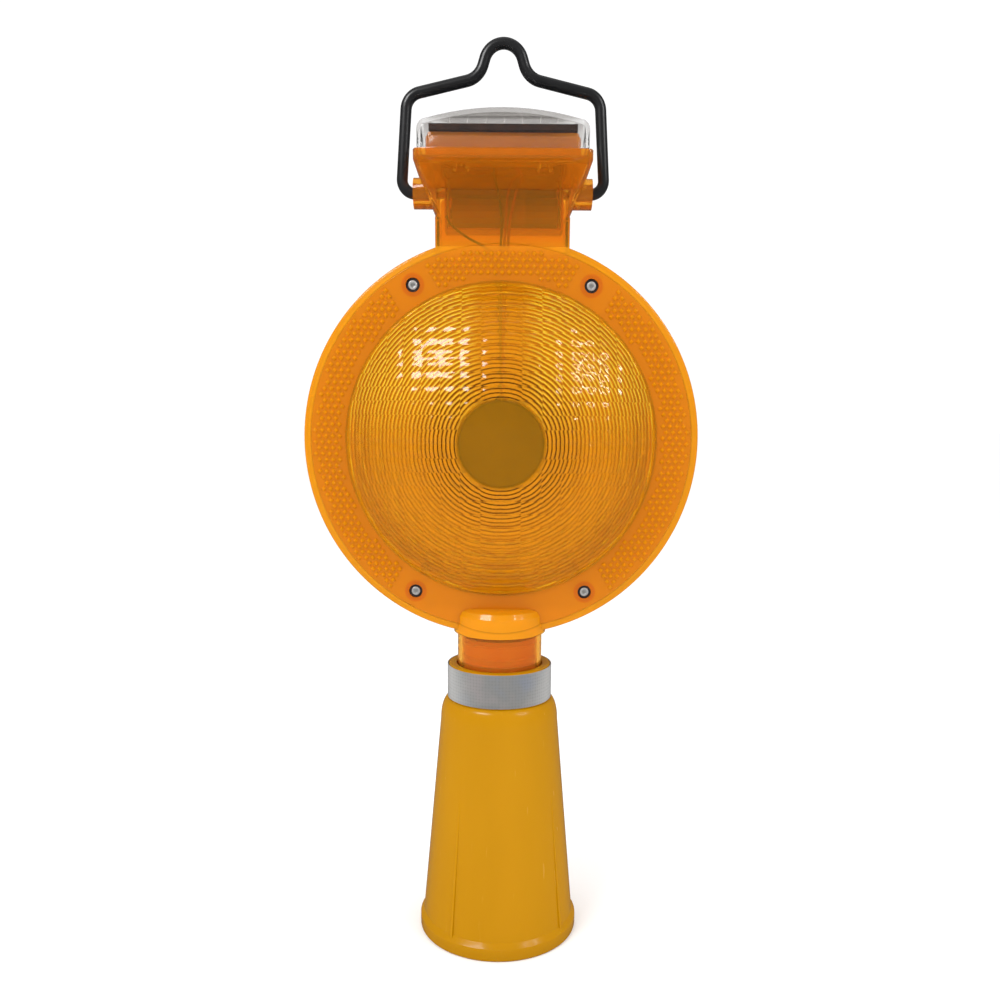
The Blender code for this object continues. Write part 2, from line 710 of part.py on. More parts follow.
def hopper_housing():
    low = NECK_TOP_Z + GAP
    outer = [
        hopper_section(NECK_HALF_X, NECK_HALF_Y, low),
        hopper_section(NECK_HALF_X, NECK_HALF_Y, FLARE_Z),
        hopper_section(hopper_side(SLOPE_BOTTOM.z), SLOPE_BOTTOM.y, SLOPE_BOTTOM.z),
        hopper_section(HOPPER_HALF_X, SLOPE_TOP.y, SLOPE_TOP.z),
        hopper_section(HOPPER_HALF_X, HOPPER_HALF_Y, HOPPER_TOP_Z),
    ]
    hopper = loft("hopper_housing", outer, ORANGE)
    wall, throat_y = HOPPER_WALL, NECK_HALF_Y - NECK_WALL
    floor = SLOPE_BOTTOM.z + 0.0016
    inner = [
        hopper_section(NECK_HALF_X - wall, throat_y, low - THROUGH, 0.0015),
        hopper_section(NECK_HALF_X - wall, throat_y, FLARE_Z, 0.0015),
        hopper_section(hopper_side(floor) - wall, throat_y, floor, 0.0015),
        hopper_section(HOPPER_HALF_X - wall, HOPPER_HALF_Y - wall, SLOPE_TOP.z + 0.0015, 0.0015),
        hopper_section(HOPPER_HALF_X - wall, HOPPER_HALF_Y - wall, HOPPER_TOP_Z + THROUGH, 0.0015),
    ]
    cut(hopper, loft("hopper_cavity", inner, cutter=True))

    for side in (-1, 1):
        depths = sorted((side * 0.0080, side * 0.05))
        reach = PLATE_HALF_X + GAP
        low_corner, high_corner = (-reach, depths[0], 0.35), (reach, depths[1], PLATE_TOP_Z + GAP)
        cut(hopper, box(f"plate_window_{side}", low_corner, high_corner, cutter=True))

    ledge_outline = rounded_rectangle(HOPPER_HALF_X - 0.0012, HOPPER_HALF_Y - 0.0012, 0.0025)
    middle = Matrix.Translation((0, 0, (LEDGE_LOW_Z + LEDGE_TOP_Z) / 2))
    thickness = LEDGE_TOP_Z - LEDGE_LOW_Z
    ledge = outline_prism("tray_ledge", ledge_outline, thickness, middle, cutter=True)
    opening = (TRAY_HALF_X - 0.0020, TRAY_HALF_Y - 0.0020)
    low_corner = (-opening[0], -opening[1], LEDGE_LOW_Z - 0.002)
    high_corner = (opening[0], opening[1], LEDGE_TOP_Z + 0.002)
    cut(ledge, box("ledge_opening", low_corner, high_corner, cutter=True))
    join(hopper, ledge)

    for corner, x, y in post_places():
        lug_height = LEDGE_TOP_Z - LUG_Z
        lug = cylinder(f"lug_{corner}", (x, y, LUG_Z), (0, 0, 1), 0.0038, lug_height, cutter=True)
        join(hopper, lug)
    for side in (-1, 1):
        ear_start = Vector((side * EAR_START_X, 0, PIVOT_Z))
        length = EAR_END_X - EAR_START_X
        ear = cylinder(f"ear_{side}", ear_start, (side, 0, 0), EAR_RADIUS, length, cutter=True, sides=20)
        join(hopper, ear)
        bore_start = Vector((side * 0.028, 0, PIVOT_Z))
        bore = cylinder(
            f"ear_bore_{side}", bore_start, (side, 0, 0), BAIL_ROD + 0.0004, THROUGH, cutter=True
        )
        cut(hopper, bore)
    for corner, x, y in post_places():
        bottom = (x, y, SCREW_TIP_Z - GAP)
        pilot = cylinder(f"pilot_{corner}", bottom, (0, 0, 1), 0.0018, 0.01, cutter=True)
        cut(hopper, pilot)
    centre, outward = switch_axis()
    hole = cylinder(
        "switch_hole", centre - outward * 0.012, outward, SWITCH_BARREL + GAP, 0.024, cutter=True
    )
    cut(hopper, hole)


def post_places():
    """The four tray screws as (corner name, x, y)."""
    return [
        (f"{row}_{column}", x, y)
        for row, y in (("front", -POST_Y), ("rear", POST_Y))
        for column, x in (("left", -POST_X), ("right", POST_X))
    ]


def solar_tray():
    """Stepped upstand that closes the hopper and carries the panel, screwed to four lugs."""
    outline = rounded_rectangle(TRAY_HALF_X, TRAY_HALF_Y, 0.0025)
    place = Matrix.Translation((0, 0, (TRAY_LOW_Z + TRAY_STEP_Z) / 2))
    tray = outline_prism("solar_tray", outline, TRAY_STEP_Z - TRAY_LOW_Z, place, ORANGE)
    upper = rounded_rectangle(TRAY_HALF_X - TRAY_STEP, TRAY_HALF_Y - TRAY_STEP, 0.0020)
    upper_low = TRAY_STEP_Z - 0.0020
    place = Matrix.Translation((0, 0, (upper_low + TRAY_TOP_Z) / 2))
    join(tray, outline_prism("tray_upper", upper, TRAY_TOP_Z - upper_low, place, cutter=True))
    inset = TRAY_WALL + TRAY_STEP
    inner = rounded_rectangle(TRAY_HALF_X - inset, TRAY_HALF_Y - inset, 0.0012)
    hollow_place = Matrix.Translation((0, 0, TRAY_TOP_Z - TRAY_WALL - 0.010))
    cut(tray, outline_prism("tray_hollow", inner, 0.020, hollow_place, cutter=True))
    for corner, x, y in post_places():
        height = TRAY_TOP_Z - 0.0004 - TRAY_LOW_Z
        start = (x, y, TRAY_LOW_Z)
        post = cylinder(f"post_{corner}", start, (0, 0, 1), TRAY_POST_RADIUS, height, cutter=True, sides=16)
        join(tray, post)
    for corner, x, y in post_places():
        below = (x, y, TRAY_LOW_Z - 0.01)
        hole = cylinder(f"post_hole_{corner}", below, (0, 0, 1), 0.0018, 0.03, cutter=True)
        cut(tray, hole)
        start = (x, y, TRAY_SCREW_Z)
        well = cylinder(f"post_well_{corner}", start, (0, 0, 1), TRAY_WELL_RADIUS, 0.01, cutter=True, sides=16)
        cut(tray, well)
    cut(tray, box("wire_slot", (-0.0075, -0.0125, 0.383), (0.0115, -0.0075, 0.395), cutter=True))


def tray_screws():
    head_z = TRAY_SCREW_Z + GAP
    for corner, x, y in post_places():
        profile = [
            (0, head_z + 0.0014),
            (0.0026, head_z + 0.0013),
            (0.0033, head_z),
            (0.0015, head_z),
            (0.0015, SCREW_TIP_Z),
            (0, SCREW_TIP_Z),
        ]
        place = Matrix.Translation((x, y, 0))
        turned(f"tray_screw_{corner}", profile, place, steps=12, surface=STEEL, ring=False)


def solar_panel():
    low = TRAY_TOP_Z + GAP
    corner = (PANEL_HALF_X, PANEL_HALF_Y, low + PANEL_THICKNESS)
    bevel(box("solar_panel", (-PANEL_HALF_X, -PANEL_HALF_Y, low), corner, SILICON), 0.0002, 1)


def cover_outline(inset):
    """Arched front view of the cover: straight sides, round corners, shallow arc on top."""
    half, side_z, top_z = COVER_HALF_X - inset, COVER_SIDE_Z, COVER_TOP_Z - inset
    corner = COVER_CORNER - inset
    shoulder = (half - corner, side_z + 0.0008)
    rise = top_z - (shoulder[1] + corner)
    arch_radius = (shoulder[0] ** 2 + rise**2) / (2 * rise)
    spread = math.asin(shoulder[0] / arch_radius)
    crown = arc((0, top_z - arch_radius), arch_radius, math.pi / 2 - spread, math.pi / 2 + spread, 12)
    bottom = HOPPER_TOP_Z + GAP - (0.01 if inset else 0)
    right = arc(shoulder, corner, 0, math.radians(65), 4)
    left = [(-x, z) for x, z in reversed(right)]
    return [(-half, bottom), (half, bottom), *right, *crown[1:-1], *left]


def solar_cover():
    upright = Matrix.Rotation(math.pi / 2, 4, "X")
    cover = outline_prism("solar_cover", cover_outline(0), 2 * COVER_HALF_Y, upright, CLEAR)
    depth = 2 * (COVER_HALF_Y - COVER_WALL)
    cut(cover, outline_prism("cover_hollow", cover_outline(COVER_WALL), depth, upright, cutter=True))


def battery_holder():
    front, back, back_wall = -0.0064, CELL_Y + CELL_RADIUS + 0.0009, 0.0008
    floor = LOWER_CELL_Z - CELL_RADIUS - 0.0003
    low, high = (HOLDER_X[0], front, floor - 0.0009), (HOLDER_X[1], back, HOLDER_TOP_Z)
    holder = box("battery_holder", low, high, ORANGE)
    inner_low = (HOLDER_X[0] + 0.0008, front - THROUGH, floor)
    inner_high = (HOLDER_X[1] - 0.0008, back - back_wall, HOLDER_TOP_Z + THROUGH)
    cut(holder, box("holder_hollow", inner_low, inner_high, cutter=True))


def battery_cell(name, z, forward):
    """An AA cell along X with its button end pointing forward or back."""
    nub = 0.0010
    body = CELL_LENGTH - nub
    profile = [
        (0, CELL_LENGTH),
        (0.0026, CELL_LENGTH),
        (0.0026, body),
        (CELL_RADIUS - 0.0005, body),
        (CELL_RADIUS, body - 0.0005),
        (CELL_RADIUS, 0.0005),
        (CELL_RADIUS - 0.0005, 0),
        (0, 0),
    ]
    start = CELL_START_X if forward else CELL_START_X + CELL_LENGTH
    place = Matrix.Translation((start, CELL_Y, z)) @ along((1 if forward else -1, 0, 0))
    smooth(turned(name, profile, place, steps=16, surface=CELL_SLEEVE, ring=False))


def spring_places():
    """Each cell's flat end: (name, x of that end, direction away from the cell, z)."""
    far_end = CELL_START_X + CELL_LENGTH
    return [("upper", CELL_START_X, -1, UPPER_CELL_Z), ("lower", far_end, 1, LOWER_CELL_Z)]


def battery_springs():
    """Conical springs, pressed almost flat by the cells."""
    turns, steps, wire = 2, 16, 0.00015
    wide, narrow = 0.0044, 0.0022
    for name, x, away, z in spring_places():
        points = []
        for step in range(steps + 1):
            done = step / steps
            angle = done * 2 * math.pi * turns
            radius = wide + (narrow - wide) * done
            depth = x + away * (0.0005 - 0.0001 * done)
            points.append((depth, CELL_Y + radius * math.cos(angle), z + radius * math.sin(angle)))
        rod(f"battery_spring_{name}", points, wire, STEEL, detail=0)


def battery_contacts():
    """Sprung-steel plates at the two ends of the cell pair."""
    margin = 0.0016
    left = HOLDER_X[0] + 0.0008 + GAP
    right = HOLDER_X[1] - 0.0008 - 2 * GAP
    reach = CELL_RADIUS - margin
    for name, x in (("left", left), ("right", right)):
        low = (x, CELL_Y - reach, LOWER_CELL_Z - reach)
        high = (x + GAP, CELL_Y + reach, UPPER_CELL_Z + reach)
        box(f"battery_contact_{name}", low, high, STEEL)


def lamp_drum(name, front):
    """Blind cup behind one lens window, with a post that backs the lamp board."""
    wall, post = 0.0014, 0.0040
    board_face = 0.0008 + GAP
    profile = [
        (0, DRUM_END),
        (DRUM_RADIUS - 0.0006, DRUM_END),
        (DRUM_RADIUS, DRUM_END - 0.0006),
        (DRUM_RADIUS, LED_GAP),
        (DRUM_RADIUS - wall, LED_GAP),
        (DRUM_RADIUS - wall, DRUM_END - 0.0016),
        (post, DRUM_END - 0.0016),
        (post, board_face),
        (0, board_face),
    ]
    smooth(turned(name, profile, facing(front), steps=24, surface=BROWN, ring=False))


def lamp_board():
    start = Vector((0, -0.0008, HEAD_Z))
    smooth(cylinder("lamp_board", start, (0, 1, 0), BOARD_RADIUS, 0.0016, GREEN, sides=24))


def board_chips():
    """Charge and flasher electronics on the front of the lamp board."""
    face = -0.0008 - GAP
    chips = (
        ("flasher_chip", -0.0105, -0.0020, 0.0045, 0.0040, 0.0016),
        ("charge_chip", 0.0060, 0.0050, 0.0040, 0.0030, 0.0012),
        ("board_capacitor", 0.0058, -0.0085, 0.0034, 0.0034, 0.0050),
    )
    for name, x, z, width, height, depth in chips:
        low, high = (x, face - depth, HEAD_Z + z), (x + width, face, HEAD_Z + z + height)
        box(name, low, high, BLACK)


def lamp_leds():
    """Round LEDs that point outwards between the drums, none at twelve o'clock."""
    start = BOARD_RADIUS + GAP
    for index in range(LED_COUNT):
        angle = (index + 0.5) * 2 * math.pi / LED_COUNT
        outward = Vector((math.sin(angle), 0, math.cos(angle)))
        place = Matrix.Translation(Vector((0, 0, HEAD_Z)) + outward * start) @ along(outward)
        bulb = arc((0, 0.0045), 0.0025, 0, math.pi / 2, 2)
        profile = [*reversed(bulb), (0.0025, 0.0010), (0.0029, 0.0010), (0.0029, 0), (0, 0)]
        profile[0] = (0, profile[0][1])
        turned(f"led_{index + 1}", profile, place, steps=8, surface=LED_AMBER, ring=False)


def wires():
    for name, route in WIRE_ROUTES.items():
        colour = RED_WIRE if "red" in name else BLACK_WIRE
        rod(name, smooth_path(route, per_span=2), WIRE_RADIUS, colour, detail=1)


def switch_axis():
    """Middle of the rear slope's outer face, and its outward direction."""
    along_slope = (SLOPE_TOP - SLOPE_BOTTOM).normalized()
    outward = Vector((0, -along_slope.z, along_slope.y)) * -1
    return (SLOPE_BOTTOM + SLOPE_TOP) / 2, outward


def switch():
    centre, outward = switch_axis()
    place = Matrix.Translation(centre) @ along(outward)
    seat, back, bore = -HOPPER_WALL - GAP, -0.0090, 0.0029
    body = [
        (0, -0.0036),
        (bore, -0.0036),
        (bore, 0.0019),
        (SWITCH_BARREL, 0.0019),
        (SWITCH_BARREL, seat),
        (0.0054, seat),
        (0.0054, back),
        (0, back),
    ]
    turned("switch_body", body, place, steps=16, surface=BLACK, ring=False)
    nut_inner = SWITCH_BARREL + GAP
    nut = [(nut_inner, 0.0017), (0.0062, 0.0017), (0.0066, 0.0013), (0.0066, GAP), (nut_inner, GAP)]
    turned("switch_nut", nut, place, steps=16, surface=BLACK)
    cap = [(0, 0.0036), (0.0018, 0.0035), (0.0026, 0.0028), (0.0026, -0.0018), (0, -0.0018)]
    turned("switch_button", cap, place, steps=16, surface=RUBBER, ring=False)


def switch_wire():
    centre, outward = switch_axis()
    start = centre - outward * 0.0099
    route = (
        tuple(start + Vector((0.0030, 0, 0))), (0.0050, 0.0165, 0.3850), (0.0120, 0.0120, 0.3860),
        (0.0200, 0.0090, 0.3862), (0.0262, 0.0050, 0.3854),
    )
    rod("switch_wire", smooth_path(route, per_span=2), WIRE_RADIUS, BLACK_WIRE, detail=1)


def bail():
    """One bent rod: pin, leg, crossbar, hanging loop, and the same mirrored."""
    pin, foot = (BAIL_PIN_X, PIVOT_Z), (BAIL_LEG_X, PIVOT_Z)
    loop_start = (
        BAIL_LOOP_RADIUS * math.cos(BAIL_LOOP_START),
        BAIL_LOOP_Z + BAIL_LOOP_RADIUS * math.sin(BAIL_LOOP_START),
    )
    right = [
        pin,
        *fillet(pin, foot, BAIL_CORNER, 0.0060),
        *fillet(foot, BAIL_CORNER, BAIL_VALLEY, 0.0080),
        *fillet(BAIL_CORNER, BAIL_VALLEY, loop_start, 0.0100),
    ]
    loop = arc((0, BAIL_LOOP_Z), BAIL_LOOP_RADIUS, BAIL_LOOP_START, math.pi - BAIL_LOOP_START, 12)
    left = [(-x, z) for x, z in reversed(right)]
    rod("bail", [(x, 0, z) for x, z in [*right, *loop, *left]], BAIL_ROD, BLACK, detail=3)


def main():
    smooth(cone_adapter())
    reflective_band()
    mount_tube()
    tube_liner()
    lens_shell("front_lens", front=True)
    lens_shell("rear_lens", front=False)
    lens_gasket("lens_gasket_left", side=-1)
    lens_gasket("lens_gasket_right", side=1)
    lens_screws()
    lens_nuts()
    hopper_housing()
    solar_tray()
    tray_screws()
    solar_panel()
    solar_cover()
    battery_holder()
    battery_cell("battery_cell_upper", UPPER_CELL_Z, forward=True)
    battery_cell("battery_cell_lower", LOWER_CELL_Z, forward=False)
    battery_springs()
    battery_contacts()
    lamp_drum("lamp_drum_front", front=True)
    lamp_drum("lamp_drum_rear", front=False)
    lamp_board()
    board_chips()
    lamp_leds()
    wires()
    switch()
    switch_wire()
    bail()


main()
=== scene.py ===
"""Solar warning light on a traffic cone adapter: shapes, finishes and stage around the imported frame."""

import math

import bmesh
import bpy
from mathutils import Matrix, Vector


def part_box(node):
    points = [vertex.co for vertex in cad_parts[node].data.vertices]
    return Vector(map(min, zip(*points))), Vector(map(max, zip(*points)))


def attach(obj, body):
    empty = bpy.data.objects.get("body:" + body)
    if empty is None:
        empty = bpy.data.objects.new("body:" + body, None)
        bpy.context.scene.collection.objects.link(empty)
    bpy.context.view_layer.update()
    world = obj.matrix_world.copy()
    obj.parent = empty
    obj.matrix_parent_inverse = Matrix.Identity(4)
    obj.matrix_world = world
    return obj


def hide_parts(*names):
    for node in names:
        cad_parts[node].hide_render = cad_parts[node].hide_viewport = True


bl_info = {
    "name": "Solar cone light",
    "version": (1, 0, 0),
    "blender": (4, 5, 0),
    "location": "View3D > Sidebar > Cone light",
    "description": "Builds the detailed pieces and finishes of a solar warning light around its frame",
    "category": "Object",
}

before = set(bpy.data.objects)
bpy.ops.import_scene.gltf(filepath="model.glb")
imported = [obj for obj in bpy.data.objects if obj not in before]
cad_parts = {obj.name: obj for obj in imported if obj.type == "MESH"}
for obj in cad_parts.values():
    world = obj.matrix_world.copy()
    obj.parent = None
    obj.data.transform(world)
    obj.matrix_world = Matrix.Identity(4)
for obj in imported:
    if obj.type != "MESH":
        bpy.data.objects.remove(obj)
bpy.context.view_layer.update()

# Lamp head, in metres, as its solids have it
HEAD_CENTRE = Vector((0, 0, 0.256))
HEAD_RADIUS = 0.095
RIM_HALF = 0.0104
RING_PLANE = 0.0120
RING_INNER = 0.0750
RING_OUTER = 0.0910
DOME_RADIUS = 0.0735
DOME_SPHERE = 0.1124
DOME_CENTRE = 0.0711
WINDOW_RADIUS = 0.0203
LENS_WALL = 0.0022
SEAM_HALF = 0.00075
PAST_SEAM = 0.0010
SCREW_X = 0.0417
SCREW_Z = 0.0726
SCREW_SEAT = 0.0092
NECK_HALF_X = 0.0312
NECK_HALF_Y = 0.0106
NECK_WALL = 0.0014
NECK_TOP_Z = 0.3590
PLATE_HALF_X = 0.0299
PLATE_TOP_Z = 0.3710
NECK_FOOT_Z = HEAD_CENTRE.z + 0.0800
CAVITY_LOW_Z = HEAD_CENTRE.z + 0.0745
SOCKET_TOP_Z = 0.1745
SOCKET_RADIUS = 0.0233
DRUM_RADIUS = 0.0196
FACE_FORWARD = Matrix.Translation(HEAD_CENTRE) @ Matrix.Rotation(math.pi / 2, 4, "X")

# Where the lens finish changes, from and to, measured from the middle of the head. The first three bound
# painted light: the deepest painted shade of the rings, and the patch of painted yellow glints.
NEAR_RINGS = (0.026, 0.048)
PAINTED_GLINT_HEIGHT = (-0.01, 0.03)
PAINTED_GLINT_ASIDE = (0.006, 0.020)
SCREW_HALO = (0.0049, 0.0058)
NECK_BLEND = (0.086, 0.096)
RIM_BLEND = (0.0905, 0.0925)
SOCKET_BLEND = (0.078, 0.084)
WINDOW_BLEND = (0.0195, 0.0205)
HEAD_TOP = 0.090
HEAD_EDGE = 0.0960

# How far one pillow bends the rings behind it, across and upwards
PILLOW_BEND_X = 0.0034
PILLOW_BEND_Z = 0.0024

# Mount tube and adapter
TUBE_RADIUS = 0.0214
TUBE_WALL = 0.0022
TUBE_LOW_Z = 0.1163
TUBE_TOP_Z = 0.1704
GROOVE_Z = 0.1640
GROOVE_TOP_Z = 0.1670
GROOVE_RADIUS = 0.0199
PIN_HOLE_Z = 0.1530
COLLAR_RADIUS = 0.0260
COLLAR_TOP_Z = 0.1446
SKIRT_TOP_Z = 0.1150
SKIRT_TOP_RADIUS = 0.0302
SKIRT_LOW_RADIUS = 0.0396
SKIRT_LOW_Z = 0.0090
FOOT_RADIUS = 0.0415
# Height over which the adapter's colour darkens towards the foot
FOOT_DARKENING_Z = 0.012
COLLAR_FOOT_Z = 0.1268
SHOULDER_RISE = 0.0116
ADAPTER_WALL = 0.0024
SHELF_RADIUS = 0.0186
SHELF_LOW_Z = 0.1130
SHELF_TOP_Z = 0.1160
LINER_LOW_Z = 0.1184
LINER_TOP_Z = 0.1590
LINER_BEADS_Z = (0.1565, 0.1497, 0.1463)
CROSS_PIN_RADIUS = 0.0015

# Bail, as (x, z) on its right side, and the bends between its straight stretches
PIVOT_Z = 0.3713
ROD_RADIUS = 0.0026
PIN_END = (0.0328, PIVOT_Z)
BAIL_FOOT = (0.04764, PIVOT_Z)
BAIL_CORNER = (0.04466, 0.41399)
BAIL_VALLEY = (0.0112, 0.4217)
FOOT_BEND = 0.0060
CORNER_BEND = 0.0080
VALLEY_BEND = 0.0100
LOOP_Z = 0.4274
LOOP_RADIUS = 0.0090
LOOP_START = 17

# Panel and cover
CROWN_BLEND = (0.3935, 0.3955)
WAFERS_ACROSS = (Vector((1, 0, 0)), 8, 0.0302)
WAFERS_DEEP = (Vector((0, 1, 0)), 2, 0.0257)
PANEL_BORDER = 0.0022
PANEL_SINK = 0.0003
WAFER_GAP = 0.0003

# Stage
LIGHT_AIM = Vector((0, 0, 0.26))
RING_LIGHT_PLACE = Vector((0.80, -0.58, 0.90))
RING_LIGHT_RADIUS = 0.18
RING_LAMPS = 18
LAMP_SIZE = 0.045
LAMP_POWER = 0.15
SKY_SEEN = 1.06
SKY_IN_GLOSS = 0.10


def corners_of_lens():
    """The four lens screws as (corner name, x, z)."""
    rows = (("lower", -SCREW_Z), ("upper", SCREW_Z))
    columns = (("left", -SCREW_X), ("right", SCREW_X))
    return [(f"{row}_{column}", x, HEAD_CENTRE.z + z) for row, z in rows for column, x in columns]


# ---------------------------------------------------------------- settings


def length_setting(name, description, default):
    return bpy.props.FloatProperty(name=name, description=description, default=default, unit="LENGTH")


def colour_setting(name, description, default):
    return bpy.props.FloatVectorProperty(
        name=name, description=description, default=default, subtype="COLOR"
    )


def angle_setting(name, description, degrees):
    return bpy.props.FloatProperty(
        name=name, description=description, default=math.radians(degrees), subtype="ANGLE", unit="ROTATION"
    )


class LensSettings(bpy.types.PropertyGroup):
    pillow_width: length_setting("Pillow width", "Width of one pillow of the lens", 0.0093)
    pillow_height: length_setting("Pillow height", "Height of one pillow of the lens", 0.0065)
    pillow_rise: length_setting("Pillow rise", "How far a pillow's middle stands out", 0.0006)
    fresnel_rings: bpy.props.IntProperty(
        name="Fresnel rings", description="Rings on the inside of each dome", default=16, min=4
    )
    tooth_depth: length_setting("Tooth depth", "Depth of one Fresnel ring", 0.0007)
    prism_pitch_x: length_setting("Prism pitch across", "Spacing of the border prisms in a row", 0.0033)
    prism_pitch_z: length_setting("Prism pitch up", "Spacing of the rows of prisms", 0.0028)
    prism_height: length_setting("Prism height", "How far a prism stands out", 0.0011)
    sides: bpy.props.IntProperty(name="Lens sides", description="Steps round a lens", default=192, min=24)


class ColourSettings(bpy.types.PropertyGroup):
    yellow: colour_setting("Adapter yellow", "Moulded plastic of the adapter", (0.49, 0.222, 0.0005))
    amber: colour_setting("Lens amber", "Clear plastic of the lenses", (0.99, 0.60, 0.015))
    orange: colour_setting("Housing orange", "Clear plastic of the hopper", (0.93, 0.42, 0.03))
    tape: colour_setting("Tape grey", "Reflective tape of the collar", (0.215, 0.215, 0.21))
    drum: colour_setting("Drum brown", "Lamp drum behind the windows", (0.27, 0.19, 0.08))


class StageSettings(bpy.types.PropertyGroup):
    lens_length: bpy.props.FloatProperty(
        name="Focal length", description="Camera focal length in millimetres", default=33.09
    )
    distance: length_setting("Camera distance", "Camera distance in front of the light", 0.4593)
    camera_height: length_setting("Camera height", "Camera height over the floor", 0.2676)
    pitch: angle_setting("Camera pitch", "How far the camera looks down", 10.567)
    roll: angle_setting("Camera roll", "Slight lean of the camera", 0.4)
    floor_radius: length_setting("Floor radius", "Radius of the pale floor", 30.0)


def settings():
    return bpy.context.scene.cone_light_lens, bpy.context.scene.cone_light_colours


# ---------------------------------------------------------------- modelling


def deselect():
    if bpy.context.object and bpy.context.object.mode != "OBJECT":
        bpy.ops.object.mode_set(mode="OBJECT")
    bpy.ops.object.select_all(action="DESELECT")


def activate(piece):
    deselect()
    piece.select_set(True)
    bpy.context.view_layer.objects.active = piece
    return piece


def added(name):
    """Names the primitive that an operator has just added."""
    piece = bpy.context.object
    piece.name = name
    piece.data.name = name
    return piece


def applied(piece):
    activate(piece)
    bpy.ops.object.transform_apply(location=True, rotation=True, scale=True)
    return piece


def placed(piece, matrix):
    """Moves the piece's mesh, so that its object stays at the origin."""
    piece.data.transform(matrix)
    piece.data.update()
    return piece


def outward(piece):
    """Merges doubles and turns all faces outwards."""
    activate(piece)
    bpy.ops.object.mode_set(mode="EDIT")
    bpy.ops.mesh.select_all(action="SELECT")
    bpy.ops.mesh.remove_doubles(threshold=0.000005)
    bpy.ops.mesh.normals_make_consistent(inside=False)
    bpy.ops.object.mode_set(mode="OBJECT")
    return piece


def softened(piece, angle=35):
    activate(piece)
    bpy.ops.object.shade_smooth_by_angle(angle=math.radians(angle))
    return piece


def turned(name, section, sides, filled=False):
    """Draws a ring and extrudes it from point to point of a (radius, height) section."""
    deselect()
    radius, height = section[0]
    fill = "TRIFAN" if filled else "NOTHING"
    bpy.ops.mesh.primitive_circle_add(
        vertices=sides, radius=radius, fill_type=fill, location=(0, 0, height)
    )
    piece = added(name)
    bpy.ops.object.mode_set(mode="EDIT")
    bpy.ops.mesh.select_all(action="SELECT")
    for next_radius, next_height in section[1:]:
        step = {"value": (0, 0, next_height - height)}
        if filled:
            bpy.ops.mesh.extrude_region_move(TRANSFORM_OT_translate=step)
        else:
            bpy.ops.mesh.extrude_edges_move(TRANSFORM_OT_translate=step)
        ratio = next_radius / radius
        bpy.ops.transform.resize(value=(ratio, ratio, 1))
        radius, height = next_radius, next_height
    bpy.ops.object.mode_set(mode="OBJECT")
    applied(piece)
    return outward(piece)


def ring(name, section, sides):
    """A ring whose section closes on itself."""
    return turned(name, [*section, section[0]], sides)


def block(name, low, high):
    low, high = Vector(low), Vector(high)
    deselect()
    bpy.ops.mesh.primitive_cube_add(size=1, location=(low + high) / 2, scale=high - low)
    return applied(added(name))


def rod_cutter(name, start, direction, radius, length, sides=32):
    direction = Vector(direction).normalized()
    deselect()
    bpy.ops.mesh.primitive_cylinder_add(
        vertices=sides,
        radius=radius,
        depth=length,
        location=Vector(start) + direction * length / 2,
        rotation=direction.to_track_quat("Z", "Y").to_euler(),
    )
    return applied(added(name))


def combined(piece, tool, operation, keep=False):
    activate(piece)
    change = piece.modifiers.new(operation.lower(), "BOOLEAN")
    change.operation = operation
    change.solver = "EXACT"
    change.object = tool
    bpy.ops.object.modifier_apply(modifier=change.name)
    if not keep:
        bpy.data.objects.remove(tool)
    return piece


def rounded(piece, width, segments=2, angle=40):
    activate(piece)
    edge = piece.modifiers.new("rounded_edges", "BEVEL")
    edge.width = width
    edge.segments = segments
    edge.limit_method = "ANGLE"
    edge.angle_limit = math.radians(angle)
    edge.harden_normals = False
    bpy.ops.object.modifier_apply(modifier=edge.name)
    return piece


def copied(piece, name, matrix=Matrix()):
    twin = bpy.data.objects.new(name, piece.data.copy())
    twin.data.name = name
    bpy.context.scene.collection.objects.link(twin)
    return placed(twin, matrix)


def from_solid(node, name):
    """A merged copy of a CAD node's mesh, for finer edges."""
    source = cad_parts[node]
    piece = bpy.data.objects.new(name, source.data.copy())
    piece.data.name = name
    piece.data.materials.clear()
    bpy.context.scene.collection.objects.link(piece)
    activate(piece)
    bpy.ops.mesh.customdata_custom_splitnormals_clear()
    bpy.ops.object.mode_set(mode="EDIT")
    bpy.ops.mesh.select_all(action="SELECT")
    bpy.ops.mesh.remove_doubles(threshold=0.000005)
    bpy.ops.mesh.dissolve_limited(angle_limit=math.radians(1))
    bpy.ops.object.mode_set(mode="OBJECT")
    return piece


def finished(piece, finish, body, slot, *nodes):
    """Gives a piece its finish and its body, and hides the CAD nodes it stands for; slot is not used."""
    piece.data.materials.clear()
    piece.data.materials.append(finish)
    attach(piece, body)
    if nodes:
        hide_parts(*nodes)
    return piece


def arc(centre, radius, start, end, count):
    """Points on an arc, angles in degrees, both ends included."""
    turns = [math.radians(start + (end - start) * i / count) for i in range(count + 1)]
    return [(centre[0] + radius * math.cos(t), centre[1] + radius * math.sin(t)) for t in turns]


# ---------------------------------------------------------------- finishes


